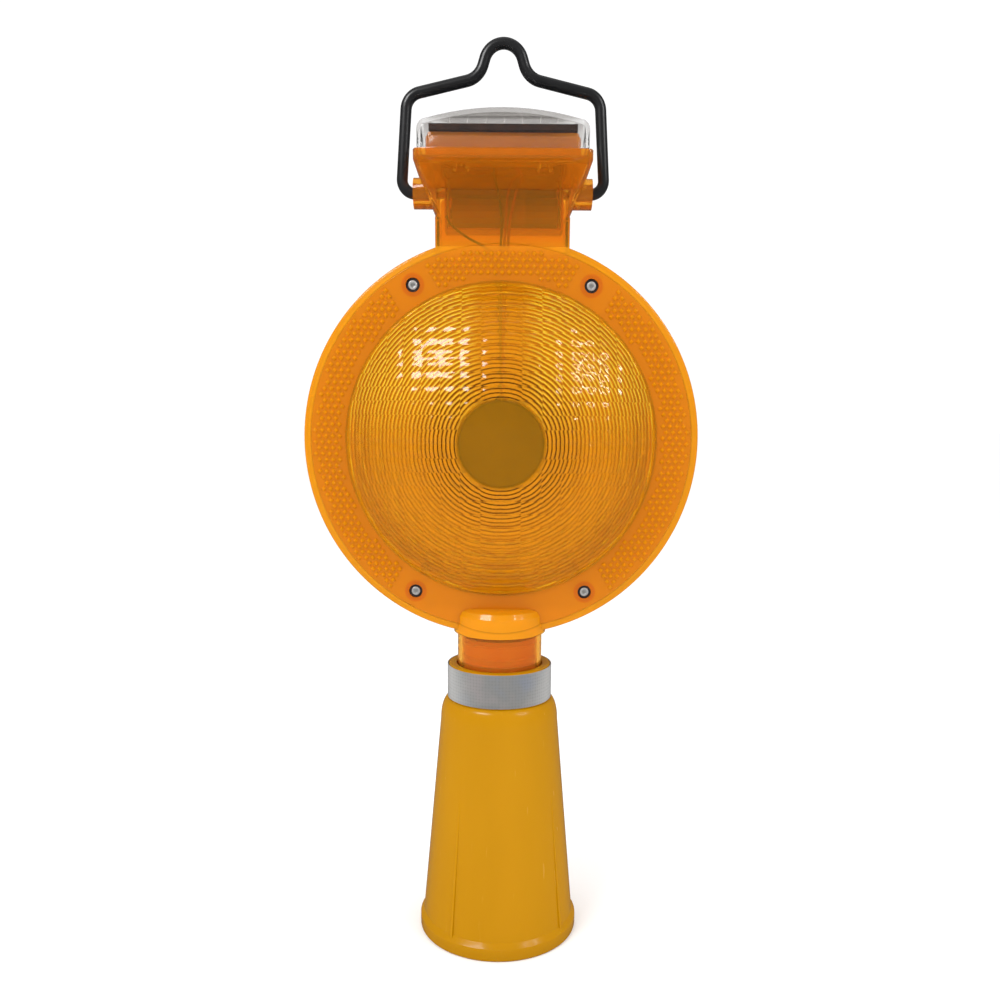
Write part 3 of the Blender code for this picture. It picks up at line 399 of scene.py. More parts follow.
class Channel:
    """A number that varies over a surface; arithmetic on it adds Math nodes."""

    def __init__(self, finish, socket):
        self.finish = finish
        self.socket = socket

    def maths(self, operation, *values):
        inputs = dict(enumerate(values))
        made = self.finish.node("ShaderNodeMath", {"operation": operation}, inputs)
        return Channel(self.finish, made.outputs[0])

    def __add__(self, other):
        return self.maths("ADD", self, other)

    def __sub__(self, other):
        return self.maths("SUBTRACT", self, other)

    def __rsub__(self, other):
        return self.maths("SUBTRACT", other, self)

    def __mul__(self, other):
        return self.maths("MULTIPLY", self, other)

    def __truediv__(self, other):
        return self.maths("DIVIDE", self, other)

    def __gt__(self, other):
        return self.maths("GREATER_THAN", self, other)

    def __lt__(self, other):
        return self.maths("LESS_THAN", self, other)

    __radd__ = __add__
    __rmul__ = __mul__

    def sine(self):
        return self.maths("SINE", self)

    def arcsine(self):
        return self.maths("ARCSINE", self)

    def fraction(self):
        return self.maths("FRACT", self)

    def absolute(self):
        return self.maths("ABSOLUTE", self)

    def root(self):
        return self.maths("SQRT", self)

    def within(self, low, high):
        """0 at low, 1 at high, held beyond them."""
        inputs = {"Value": self, "From Min": low, "From Max": high}
        settings = {"clamp": True, "interpolation_type": "SMOOTHSTEP"}
        made = self.finish.node("ShaderNodeMapRange", settings, inputs)
        return Channel(self.finish, made.outputs[0])


class Finish:
    """One material: its node tree, its shader and the patterns that feed it."""

    def __init__(self, name, **plain):
        self.material = bpy.data.materials.new(name)
        self.material.use_nodes = True
        self.tree = self.material.node_tree
        self.shader = self.tree.nodes["Principled BSDF"]
        self.coordinates = self.node("ShaderNodeTexCoord").outputs["Object"]
        for key, value in plain.items():
            self.set(key.replace("_", " ").title().replace("Ior", "IOR"), value)

    def node(self, kind, settings=None, inputs=None):
        made = self.tree.nodes.new(kind)
        for key, value in (settings or {}).items():
            if key == "stops":
                self.fill_ramp(made.color_ramp, value)
            else:
                setattr(made, key, value)
        for key, value in (inputs or {}).items():
            self.feed(made.inputs[key], value)
        return made

    def fill_ramp(self, ramp, stops):
        while len(ramp.elements) < len(stops):
            ramp.elements.new(0.5)
        for element, (position, colour) in zip(ramp.elements, stops):
            element.position = position
            element.color = (*colour, 1)

    def feed(self, socket, value):
        if isinstance(value, Channel):
            self.tree.links.new(value.socket, socket)
        elif isinstance(value, bpy.types.NodeSocket):
            self.tree.links.new(value, socket)
        else:
            if socket.type == "RGBA" and len(value) == 3:
                value = (*value, 1)
            socket.default_value = value

    def set(self, socket, value):
        self.feed(self.shader.inputs[socket], value)

    def mapped(self, scale=(1, 1, 1), shift=(0, 0, 0)):
        """The piece's coordinates, stretched or shifted."""
        inputs = {"Vector": self.coordinates, "Scale": scale, "Location": shift}
        return self.node("ShaderNodeMapping", None, inputs).outputs[0]

    def axes(self, vector=None):
        """X, Y and Z of a place as channels."""
        split = self.node("ShaderNodeSeparateXYZ", None, {0: vector or self.coordinates})
        return [Channel(self, socket) for socket in split.outputs]

    def noise(self, scale, detail=3.0, vector=None):
        inputs = {"Vector": vector or self.coordinates, "Scale": scale, "Detail": detail}
        return Channel(self, self.node("ShaderNodeTexNoise", None, inputs).outputs["Fac"])

    def cells(self, scale, vector=None, randomness=1.0, output="Distance"):
        inputs = {"Vector": vector or self.coordinates, "Scale": scale, "Randomness": randomness}
        return Channel(self, self.node("ShaderNodeTexVoronoi", None, inputs).outputs[output])

    def mix(self, factor, first, second):
        made = self.node("ShaderNodeMix", {"data_type": "RGBA"})
        self.feed(made.inputs[0], factor)
        self.feed(made.inputs[6], first)
        self.feed(made.inputs[7], second)
        return made.outputs[2]

    def denser(self, share, colour, normal):
        """Mixes in the same plastic where it scatters light instead of passing it."""
        solid = self.node("ShaderNodeBsdfPrincipled", None, {"Roughness": 0.22, "Specular IOR Level": 0.3})
        self.feed(solid.inputs["Base Color"], colour)
        self.feed(solid.inputs["Normal"], normal)
        inputs = {0: share, 1: self.shader.outputs[0], 2: solid.outputs[0]}
        mixed = self.node("ShaderNodeMixShader", None, inputs)
        output = self.tree.nodes["Material Output"]
        self.tree.links.new(mixed.outputs[0], output.inputs["Surface"])
        return self.material

    def ramp(self, factor, stops):
        return self.node("ShaderNodeValToRGB", {"stops": stops}, {0: factor}).outputs[0]

    def bump(self, height, distance, strength=1.0):
        inputs = {"Height": height, "Distance": distance, "Strength": strength}
        return self.node("ShaderNodeBump", None, inputs).outputs[0]


def mould_grain(finish, scale=900, depth=0.00002):
    """Very fine unevenness of moulded plastic."""
    return finish.bump(finish.noise(scale, 2.0), depth, 0.5)


def plain_finish(name, light, dark, rough_low, rough_high, scale=260, grain=0.00003, **plain):
    """A two-tone finish with uneven gloss and a fine grain, for small parts."""
    finish = Finish(name, **plain)
    patches = finish.noise(scale, 4.0)
    finish.set("Base Color", finish.mix(patches.within(0.3, 0.7), dark, light))
    wear = finish.noise(scale * 2.3, 3.0)
    finish.set("Roughness", wear * (rough_high - rough_low) + rough_low)
    finish.set("Normal", mould_grain(finish, scale * 5, grain))
    return finish.material


def darker(colour, share):
    return tuple(channel * share for channel in colour)


def yellow_plastic(colour):
    finish = Finish("yellow_plastic", coat_weight=0.08, coat_roughness=0.10, specular_ior_level=0.2)
    finish.set("Subsurface Weight", 0.12)
    finish.set("Subsurface Radius", (0.004, 0.002, 0.0005))
    _, _, z = finish.axes()
    flow = finish.noise(38, 3.0, finish.mapped(scale=(1, 1, 0.25)))
    # Darker towards the foot, fading out 12 mm above the floor.
    low = z.within(0.0, FOOT_DARKENING_Z)
    base = finish.mix(flow.within(0.25, 0.75), darker(colour, 0.93), colour)
    scuffs = finish.noise(420, 5.0, finish.mapped(scale=(1, 1, 0.08)))
    scuffed = scuffs.within(0.66, 0.74) * 0.25
    base = finish.mix(scuffed, base, (0.62, 0.33, 0.03))
    finish.set("Base Color", finish.mix(low, darker(colour, 0.86), base))
    finish.set("Roughness", flow * 0.08 + scuffed * 0.3 + 0.17)
    finish.set("Normal", mould_grain(finish, 700, 0.00003))
    return finish.material


def reflective_tape(colour):
    """Grey tape with a fine honeycomb of sealed cells, a faint shift of hue, and a painted sheen that
    lightens the colour where the surface turns away from view.
    """
    finish = Finish("reflective_tape", coat_weight=0.35, coat_roughness=0.12, metallic=0.15)
    # Painted sheen: the base colour turns lighter at grazing angles, standing in for the lights caught
    # along the tape's edges.
    painted_sheen_facing = finish.node("ShaderNodeLayerWeight", None, {"Blend": 0.5}).outputs["Facing"]
    edge = Channel(finish, painted_sheen_facing).within(0.05, 0.75)
    x, y, z = finish.axes()
    around = finish.node("ShaderNodeMath", {"operation": "ARCTAN2"}, {0: x, 1: y}).outputs[0]
    run = Channel(finish, around) * (COLLAR_RADIUS + 0.0005)
    flat = finish.node("ShaderNodeCombineXYZ", None, {0: run, 1: z, 2: 0.0}).outputs[0]
    cell = finish.cells(620, flat, 0.15)
    wall = cell.within(0.40, 0.62)
    hue = finish.noise(60, 2.0, flat)
    bluish, reddish = (0.20, 0.215, 0.25), (0.26, 0.24, 0.235)
    shift = finish.ramp(hue, [(0.30, bluish), (0.5, colour), (0.70, reddish)])
    bright = finish.mix(edge, shift, (0.50, 0.50, 0.49))
    finish.set("Base Color", finish.mix(wall * 0.25, bright, darker(colour, 0.6)))
    finish.set("Roughness", wall * 0.12 + 0.30)
    finish.set("Normal", finish.bump(cell, 0.00005, 0.25))
    return finish.material


def clear_plastic(name, colour, deep, transmission, roughness=0.05, flow_scale=45):
    """Transparent moulded plastic with slow flow marks and a little tint variation."""
    finish = Finish(name, ior=1.5, transmission_weight=transmission, specular_ior_level=0.35)
    flow = finish.noise(flow_scale, 3.0)
    finish.set("Base Color", finish.mix(flow.within(0.3, 0.7), deep, colour))
    finish.set("Roughness", finish.noise(flow_scale * 6, 2.0) * 0.06 + roughness)
    ripple = finish.noise(flow_scale * 3.1, 2.0)
    finish.set("Normal", finish.bump(ripple, 0.0002, 0.18))
    return finish.material


def orange_plastic(name, colour, transmission, share, gloss=0.3):
    """Clear orange that scatters part of the light."""
    finish = Finish(name, ior=1.5, transmission_weight=transmission, specular_ior_level=gloss)
    flow = finish.noise(45, 3.0)
    finish.set("Base Color", finish.mix(flow.within(0.3, 0.7), darker(colour, 0.9), colour))
    finish.set("Roughness", finish.noise(270, 2.0) * 0.06 + 0.03)
    ripple = finish.bump(finish.noise(140, 2.0), 0.0002, 0.18)
    finish.set("Normal", ripple)
    return finish.denser(flow * 0.1 + share, (0.90, 0.27, 0.012), ripple)


def clear_cover():
    """Clear plastic with a smoky crown."""
    finish = Finish("clear_cover", ior=1.36, transmission_weight=1.0, specular_ior_level=0.15)
    _, _, z = finish.axes()
    crown = z.within(*CROWN_BLEND)
    flow = finish.noise(30, 3.0)
    smoke = finish.mix(flow, (0.50, 0.485, 0.47), (0.56, 0.54, 0.52))
    finish.set("Base Color", finish.mix(crown, (0.95, 0.94, 0.93), smoke))
    finish.set("Roughness", finish.noise(180, 2.0) * 0.04 + 0.01)
    finish.set("Normal", finish.bump(finish.noise(90, 2.0), 0.0001, 0.12))
    return finish.material


def across_pillow(along, size):
    """-1 to 1 from one side of a pillow to the other."""
    return ((along / DOME_SPHERE).arcsine() * (DOME_SPHERE / size)).fraction() * 2 - 1


def lens_amber(colour, lens):
    """Clear amber with painted shade on the Fresnel steps, broken up by the pillows, painted yellow glints
    along the rings on the upper face, painted shade at the feet of the border prisms, and a denser rim.
    """
    finish = Finish("lens_amber", ior=1.52, transmission_weight=0.93)
    x, y, z = finish.axes(finish.mapped(shift=-HEAD_CENTRE))
    radius = (x * x + z * z).root()
    flow = finish.noise(60, 2.0)
    base = finish.mix(flow.within(0.3, 0.7), darker(colour, 0.95), colour)
    bend_x = across_pillow(x, lens.pillow_width) * x * PILLOW_BEND_X
    bend_z = across_pillow(z, lens.pillow_height) * z * PILLOW_BEND_Z
    seen = radius + (bend_x + bend_z) / radius
    pitch = (DOME_RADIUS - WINDOW_RADIUS) / lens.fresnel_rings
    step = ((seen - WINDOW_RADIUS) / pitch).fraction()
    on_dome = (radius > WINDOW_RADIUS + 0.0004) * (radius < DOME_RADIUS)
    # Painted shade: a dark band on each Fresnel step, darkest and deepest in colour near the middle.
    near = 1 - radius.within(*NEAR_RINGS)
    painted_ring_shade = step.within(0.55, 0.80) * (1 - step.within(0.88, 1.0))
    dark = painted_ring_shade * on_dome * (near * 0.45 + 0.50)
    groove = finish.mix(near, (0.45, 0.10, 0.004), (0.10, 0.018, 0.001))
    # Painted highlight: yellow glints just past each Fresnel step, on the upper face and off the middle
    # column.
    painted_glint_streak = step.within(0.10, 0.25) * (1 - step.within(0.30, 0.45)) * on_dome
    upper = z.within(*PAINTED_GLINT_HEIGHT) * x.absolute().within(*PAINTED_GLINT_ASIDE)
    on_border = (radius > RING_INNER) * (radius < RING_OUTER)
    # Painted shade on the flat border and at the feet of the prisms, fading out towards the prism tips.
    foot = (1 - y.absolute().within(RING_PLANE, RING_PLANE + 0.0005)) * on_border
    aside, above = x.absolute() - SCREW_X, z.absolute() - SCREW_Z
    halo = 1 - (aside * aside + above * above).root().within(*SCREW_HALO)
    in_neck = z.within(*NECK_BLEND)

    # Lays the painted glints, the painted ring shade and the painted prism shade, then the screw halos and
    # the redder neck, over a colour.
    def painted_and_patterned(clear, painted_prism_shade_share):
        tint = finish.mix(painted_glint_streak * upper, clear, (1.0, 0.84, 0.06))
        tint = finish.mix(dark, tint, groove)
        tint = finish.mix(foot * painted_prism_shade_share, tint, (0.80, 0.23, 0.005))
        tint = finish.mix(halo * 0.7, tint, (0.80, 0.16, 0.006))
        return finish.mix(in_neck, tint, (0.97, 0.40, 0.02))

    ripple = finish.bump(finish.noise(260, 2.0), 0.00006, 0.25)
    finish.set("Base Color", painted_and_patterned(base, 0.15))
    finish.set("Roughness", flow * 0.04 + 0.01)
    finish.set("Normal", ripple)
    in_head = (z < HEAD_TOP) * (radius < HEAD_EDGE)
    rim = radius.within(*RIM_BLEND) * in_head * 0.30
    socket = (-1 * z).within(*SOCKET_BLEND) * 0.06
    border = on_border * in_head * 0.30
    outside_window = radius.within(*WINDOW_BLEND) * 0.18
    # The glint streaks also take a larger dense share, which brightens the painted highlight.
    share = rim + socket + border + outside_window + painted_glint_streak * upper * 0.30 + 0.02
    return finish.denser(share * (1 - in_neck * 0.5), painted_and_patterned((1.0, 0.37, 0.005), 0.9), ripple)


def drum_plastic(colour):
    finish = Finish("drum_plastic", roughness=0.5)
    speckle = finish.noise(1600, 3.0)
    finish.set("Base Color", finish.mix(speckle.within(0.35, 0.65), darker(colour, 0.85), colour))
    finish.set("Roughness", finish.noise(300, 2.0) * 0.2 + 0.4)
    finish.set("Normal", finish.bump(speckle, 0.00003, 0.4))
    return finish.material


def black_coating():
    finish = Finish("black_coating", coat_weight=0.35, coat_roughness=0.25)
    orange_peel = finish.noise(900, 3.0)
    tint = finish.noise(120, 3.0)
    finish.set("Base Color", finish.mix(tint, (0.004, 0.004, 0.005), (0.016, 0.016, 0.017)))
    finish.set("Roughness", orange_peel * 0.14 + 0.27)
    finish.set("Normal", finish.bump(orange_peel, 0.00006, 0.4))
    return finish.material


def bright_steel():
    finish = Finish("bright_steel", metallic=0.7)
    spin = finish.noise(2600, 2.0, finish.mapped(scale=(1, 0.1, 1)))
    tone = finish.noise(700, 3.0)
    finish.set("Base Color", finish.mix(tone, (0.62, 0.61, 0.59), (0.92, 0.91, 0.89)))
    finish.set("Roughness", spin * 0.22 + 0.26)
    finish.set("Normal", finish.bump(spin, 0.00002, 0.5))
    return finish.material


def solar_cells_finish():
    """Blue-black crystalline wafers with fine silver fingers."""
    finish = Finish("solar_wafer", coat_weight=1.0, coat_roughness=0.04, specular_ior_level=0.6)
    x, _, _ = finish.axes()
    finger_pitch = 0.0009
    fingers = ((x / finger_pitch).fraction() < 0.10) * 0.45
    crystals = finish.cells(220, None, 1.0, "Color")
    silicon = finish.mix(crystals, (0.004, 0.006, 0.020), (0.010, 0.018, 0.055))
    finish.set("Base Color", finish.mix(fingers, silicon, (0.25, 0.26, 0.28)))
    finish.set("Roughness", crystals * 0.12 + 0.22)
    return finish.material


def cell_sleeve():
    """Shrink sleeve of a battery cell with a darker band at one end."""
    finish = Finish("cell_sleeve", coat_weight=0.4, coat_roughness=0.15)
    x, _, _ = finish.axes()
    band_start, band_end = 0.010, 0.0112
    band = x.within(band_start, band_end)
    crinkle = finish.noise(320, 3.0, finish.mapped(scale=(0.3, 1, 1)))
    sleeve = finish.mix(crinkle, (0.32, 0.12, 0.04), (0.40, 0.16, 0.05))
    finish.set("Base Color", finish.mix(band, sleeve, (0.24, 0.10, 0.035)))
    finish.set("Roughness", crinkle * 0.15 + 0.3)
    finish.set("Normal", finish.bump(crinkle, 0.0001, 0.3))
    return finish.material


def circuit_green():
    finish = Finish("circuit_green", coat_weight=0.5, coat_roughness=0.1)
    x, _, z = finish.axes()
    track_x, track_z = 0.0021, 0.0026
    tracks = ((x / track_x).sine() * (z / track_z).sine()).within(0.2, 0.35)
    finish.set("Base Color", finish.mix(tracks, (0.010, 0.075, 0.028), (0.030, 0.16, 0.055)))
    finish.set("Roughness", finish.noise(500, 2.0) * 0.2 + 0.3)
    finish.set("Normal", finish.bump(tracks, 0.00005, 0.5))
    return finish.material


def wire_sleeve(name, light, dark):
    finish = Finish(name, coat_weight=0.2)
    tint = finish.noise(350, 3.0)
    finish.set("Base Color", finish.mix(tint, dark, light))
    finish.set("Roughness", tint * 0.2 + 0.3)
    finish.set("Normal", finish.bump(finish.noise(2500, 2.0), 0.00002, 0.4))
    return finish.material


FINISHES = {}


def make_finishes():
    lens, colours = settings()
    amber, orange = tuple(colours.amber), tuple(colours.orange)
    FINISHES.update(
        yellow_plastic=yellow_plastic(tuple(colours.yellow)),
        reflective_tape=reflective_tape(tuple(colours.tape)),
        amber_lens=lens_amber(amber, lens),
        orange_housing=orange_plastic("orange_housing", orange, 0.95, 0.18),
        tray_orange=orange_plastic("tray_orange", (0.96, 0.36, 0.02), 0.85, 0.35, 0.03),
        clear_amber=clear_plastic("clear_amber", (1.0, 0.52, 0.06), (1.0, 0.46, 0.05), 0.88, 0.02),
        deep_orange=clear_plastic("deep_orange", (1.0, 0.30, 0.006), (0.98, 0.25, 0.005), 0.12, 0.10),
        clear_cover=clear_cover(),
        black_coated_rod=black_coating(),
        zinc_steel=bright_steel(),
        seal_rubber=plain_finish("seal_rubber", (0.035, 0.033, 0.03), (0.015, 0.014, 0.013), 0.6, 0.8),
        solar_cells=solar_cells_finish(),
        panel_frame=plain_finish(
            "panel_frame", (0.045, 0.018, 0.010), (0.025, 0.010, 0.006), 0.5, 0.7, specular_ior_level=0.05
        ),
        drum_brown=drum_plastic(tuple(colours.drum)),
        circuit_board=circuit_green(),
        led_amber=clear_plastic("led_amber", (0.98, 0.62, 0.10), (0.95, 0.50, 0.06), 0.6, 0.05, 300),
        cell_can=cell_sleeve(),
        red_wire=wire_sleeve("red_wire", (0.62, 0.03, 0.015), (0.42, 0.015, 0.01)),
        black_wire=wire_sleeve("black_wire", (0.02, 0.02, 0.02), (0.008, 0.008, 0.008)),
        black_plastic=plain_finish("black_plastic", (0.03, 0.03, 0.032), (0.014, 0.014, 0.015), 0.35, 0.5),
    )


# ---------------------------------------------------------------- pieces


def skirt_radius(z):
    fall = (z - SKIRT_LOW_Z) / (SKIRT_TOP_Z - SKIRT_LOW_Z)
    return SKIRT_LOW_RADIUS + (SKIRT_TOP_RADIUS - SKIRT_LOW_RADIUS) * fall


class ConeAdapter(bpy.types.Operator):
    """Hollow yellow adapter with its foot bead, ribs, shoulder and collar"""

    bl_idname = "cone_light.adapter"
    bl_label = "Cone adapter"

    def execute(self, context):
        bore = TUBE_RADIUS + 0.0004
        lip, edge, bead, foot_lip = 0.0006, 0.0007, 0.0010, 0.0008
        bead_edge = FOOT_RADIUS - bead
        section = [
            *arc((bore + lip, COLLAR_TOP_Z - lip), lip, 180, 90, 4),
            *arc((COLLAR_RADIUS - edge, COLLAR_TOP_Z - edge), edge, 90, 0, 5),
            (COLLAR_RADIUS, COLLAR_FOOT_Z),
            *self.shoulder(),
            (skirt_radius(0.075), 0.075),
            (skirt_radius(0.035), 0.035),
            *arc((skirt_radius(0.0095) + bead, 0.0098), bead, 180, 235, 4),
            *arc((bead_edge, 0.0062), bead, 60, 0, 4),
            *arc((bead_edge, bead), bead, 0, -90, 4),
            *arc((FOOT_RADIUS - 0.0036, foot_lip), foot_lip, -90, -160, 3),
            (skirt_radius(SKIRT_LOW_Z) - ADAPTER_WALL, SKIRT_LOW_Z),
            (SKIRT_TOP_RADIUS - ADAPTER_WALL, SHELF_LOW_Z),
            (SHELF_RADIUS, SHELF_LOW_Z),
            (SHELF_RADIUS, SHELF_TOP_Z),
            (bore, SHELF_TOP_Z),
        ]
        adapter = ring("cone_adapter_shell", section, 160)
        for index in range(4):
            turn = Matrix.Rotation(math.radians(-36 + 90 * index), 4, "Z")
            rib = self.rib(turn)
            combined(adapter, rib, "UNION")
        softened(adapter, 30)
        finished(adapter, FINISHES["yellow_plastic"], "adapter", "yellow_plastic", "cone_adapter")
        return {"FINISHED"}

    def shoulder(self):
        """The rounded step from the collar down to the skirt."""
        points = []
        for degrees in range(88, -1, -8):
            turn = math.radians(degrees)
            radius = COLLAR_RADIUS + (SKIRT_TOP_RADIUS - COLLAR_RADIUS) * math.cos(turn)
            points.append((radius, SKIRT_TOP_Z + SHOULDER_RISE * math.sin(turn)))
        return points

    def rib(self, turn):
        """A slim rib from the foot bead that fades out up the skirt."""
        low_z, top_z, half, buried = 0.004, 0.078, 0.00075, 0.0012
        inside = skirt_radius(low_z) - buried
        rib = block("rib", (-half, -FOOT_RADIUS + 0.0005, low_z), (half, -inside, top_z))
        for corner in rib.data.vertices:
            if corner.co.z > (low_z + top_z) / 2:
                deep = corner.co.y > -(FOOT_RADIUS + inside) / 2 + 0.0003
                reach = skirt_radius(top_z) + (-buried if deep else 0.0001)
                corner.co.y = -reach
        activate(rib)
        rounded(rib, 0.0003, 2, 60)
        return placed(rib, turn)


class CollarBand(bpy.types.Operator):
    """Grey reflective tape wound round the collar"""

    bl_idname = "cone_light.band"
    bl_label = "Collar band"

    def execute(self, context):
        inner, outer = COLLAR_RADIUS + 0.0003, COLLAR_RADIUS + 0.0007
        low, high, edge = 0.1272, 0.1442, 0.00015
        section = [
            (inner, high),
            *arc((outer - edge, high - edge), edge, 90, 0, 3),
            *arc((outer - edge, low + edge), edge, 0, -90, 3),
            (inner, low),
        ]
        band = ring("collar_tape", section, 160)
        softened(band, 40)
        finished(band, FINISHES["reflective_tape"], "adapter", "reflective_tape", "reflective_band")
        return {"FINISHED"}


class MountTube(bpy.types.Operator):
    """Clear mount tube with its groove and cross hole, and the ribbed liner inside it"""

    bl_idname = "cone_light.tube"
    bl_label = "Mount tube and liner"

    def execute(self, context):
        inner, top_inner = TUBE_RADIUS - TUBE_WALL, GROOVE_RADIUS - 0.0013
        top_edge, low_edge = 0.0004, 0.0006
        section = [
            (top_inner, TUBE_TOP_Z),
            *arc((TUBE_RADIUS - top_edge, TUBE_TOP_Z - top_edge), top_edge, 90, 0, 3),
            (TUBE_RADIUS, GROOVE_TOP_Z),
            (GROOVE_RADIUS, GROOVE_TOP_Z),
            (GROOVE_RADIUS, GROOVE_Z),
            (TUBE_RADIUS, GROOVE_Z),
            *arc((TUBE_RADIUS - low_edge, TUBE_LOW_Z + low_edge), low_edge, 0, -90, 3),
            (inner, TUBE_LOW_Z),
            (inner, GROOVE_Z - 0.0040),
            (top_inner, GROOVE_Z - 0.0030),
        ]
        tube = ring("mount_tube_wall", section, 112)
        self.drill(tube)
        softened(tube, 30)
        finished(tube, FINISHES["clear_amber"], "tube", "clear_amber", "mount_tube")
        bead = inner - 0.0003
        wall = bead - 0.0005
        bore = wall - 0.0014
        outer = [(wall, LINER_TOP_Z)]
        for bead_z in LINER_BEADS_Z:
            outer += arc((wall - 0.0003, bead_z), 0.0008, 68, -68, 6)
        outer.append((wall, LINER_LOW_Z))
        liner = ring("tube_sleeve", [*outer, (bore, LINER_LOW_Z), (bore, LINER_TOP_Z)], 112)
        self.drill(liner)
        softened(liner, 30)
        finished(liner, FINISHES["deep_orange"], "tube", "deep_orange", "tube_liner")
        return {"FINISHED"}

    def drill(self, piece):
        reach = 0.03
        start = (-reach, 0, PIN_HOLE_Z)
        pin = rod_cutter("pin_hole", start, (1, 0, 0), CROSS_PIN_RADIUS, reach * 2, 24)
        combined(piece, pin, "DIFFERENCE")


def dome_depth(radius, sphere=DOME_SPHERE):
    return math.sqrt(sphere**2 - radius**2) - DOME_CENTRE


def lens_section(rings, tooth):
    """Half section of a shell from inside the window, round the rim, to the window's face."""
    inner_sphere = DOME_SPHERE - LENS_WALL
    window = dome_depth(WINDOW_RADIUS)
    window_inner = window - LENS_WALL - 0.0001
    seat = DRUM_RADIUS + 0.0004
    first, last = WINDOW_RADIUS + 0.0013, DOME_RADIUS - 0.0014
    pitch = (last - first) / rings
    inside = []
    for i in range(rings):
        start = first + pitch * i
        inside.append((start, dome_depth(start, inner_sphere) + tooth * 0.15))
        middle = start + pitch * 0.5
        inside.append((middle, dome_depth(middle, inner_sphere) - tooth * 0.25))
        end = start + pitch * 0.86
        inside.append((end, dome_depth(end, inner_sphere) - tooth))
    rim = HEAD_RADIUS
    back = [
        (last, dome_depth(last, inner_sphere)),
        (DOME_RADIUS + 0.0012, RING_PLANE - LENS_WALL),
        (rim - LENS_WALL - 0.0008, RING_PLANE - LENS_WALL),
        (rim - LENS_WALL, RIM_HALF - 0.0014),
        (rim - LENS_WALL, -PAST_SEAM),
        (rim, -PAST_SEAM),
        *arc((rim - 0.0010, RIM_HALF - 0.0010), 0.0010, 0, 80, 5),
        (rim - 0.0034, RIM_HALF + 0.0004),
        (rim - 0.0037, RING_PLANE - 0.0002),
        (rim - 0.0040, RING_PLANE),
    ]
    steps = 76
    span = DOME_RADIUS + 0.0012 - WINDOW_RADIUS
    front = []
    for i in range(steps, -1, -1):
        radius = WINDOW_RADIUS + span * i / steps
        front.append((radius, RING_PLANE if radius > DOME_RADIUS else dome_depth(radius)))
    lip = [
        (WINDOW_RADIUS - 0.0002, window - 0.00025),
        (WINDOW_RADIUS - 0.0006, window - 0.00025),
        (WINDOW_RADIUS - 0.0009, window),
    ]
    start = [(seat, window_inner), (seat, window_inner - 0.0026), (first, window_inner - 0.0026)]
    return [*start, *inside, *back, *front, *lip]


def place_on_pillow(along, size):
    """-1 to 1 from one side of a pillow to the other, as the lens finish has it."""
    count = DOME_SPHERE * math.asin(max(-0.9, min(0.9, along / DOME_SPHERE))) / size
    return 2 * (count - math.floor(count)) - 1


def pillow_height(x, z, lens):
    """How far the pillow pattern stands out at a place on the dome, from 0 to 1."""
    u = place_on_pillow(x, lens.pillow_width)
    v = place_on_pillow(z, lens.pillow_height)
    return (1 - u * u) * (1 - v * v)


def in_screw_pad(x, z):
    """True on the smooth pads round the screws and in the bottom sector."""
    for _, screw_x, screw_z in corners_of_lens():
        centre = Vector((screw_x, screw_z - HEAD_CENTRE.z))
        inward = -centre.normalized()
        aside = Vector((-inward.y, inward.x))
        offset = Vector((x, z)) - centre
        along_pad, beside = offset.dot(inward), abs(offset.dot(aside))
        if -0.016 < along_pad < 0.014 and beside < 0.0095:
            return True
    return z < -0.062 and abs(x) < 0.036


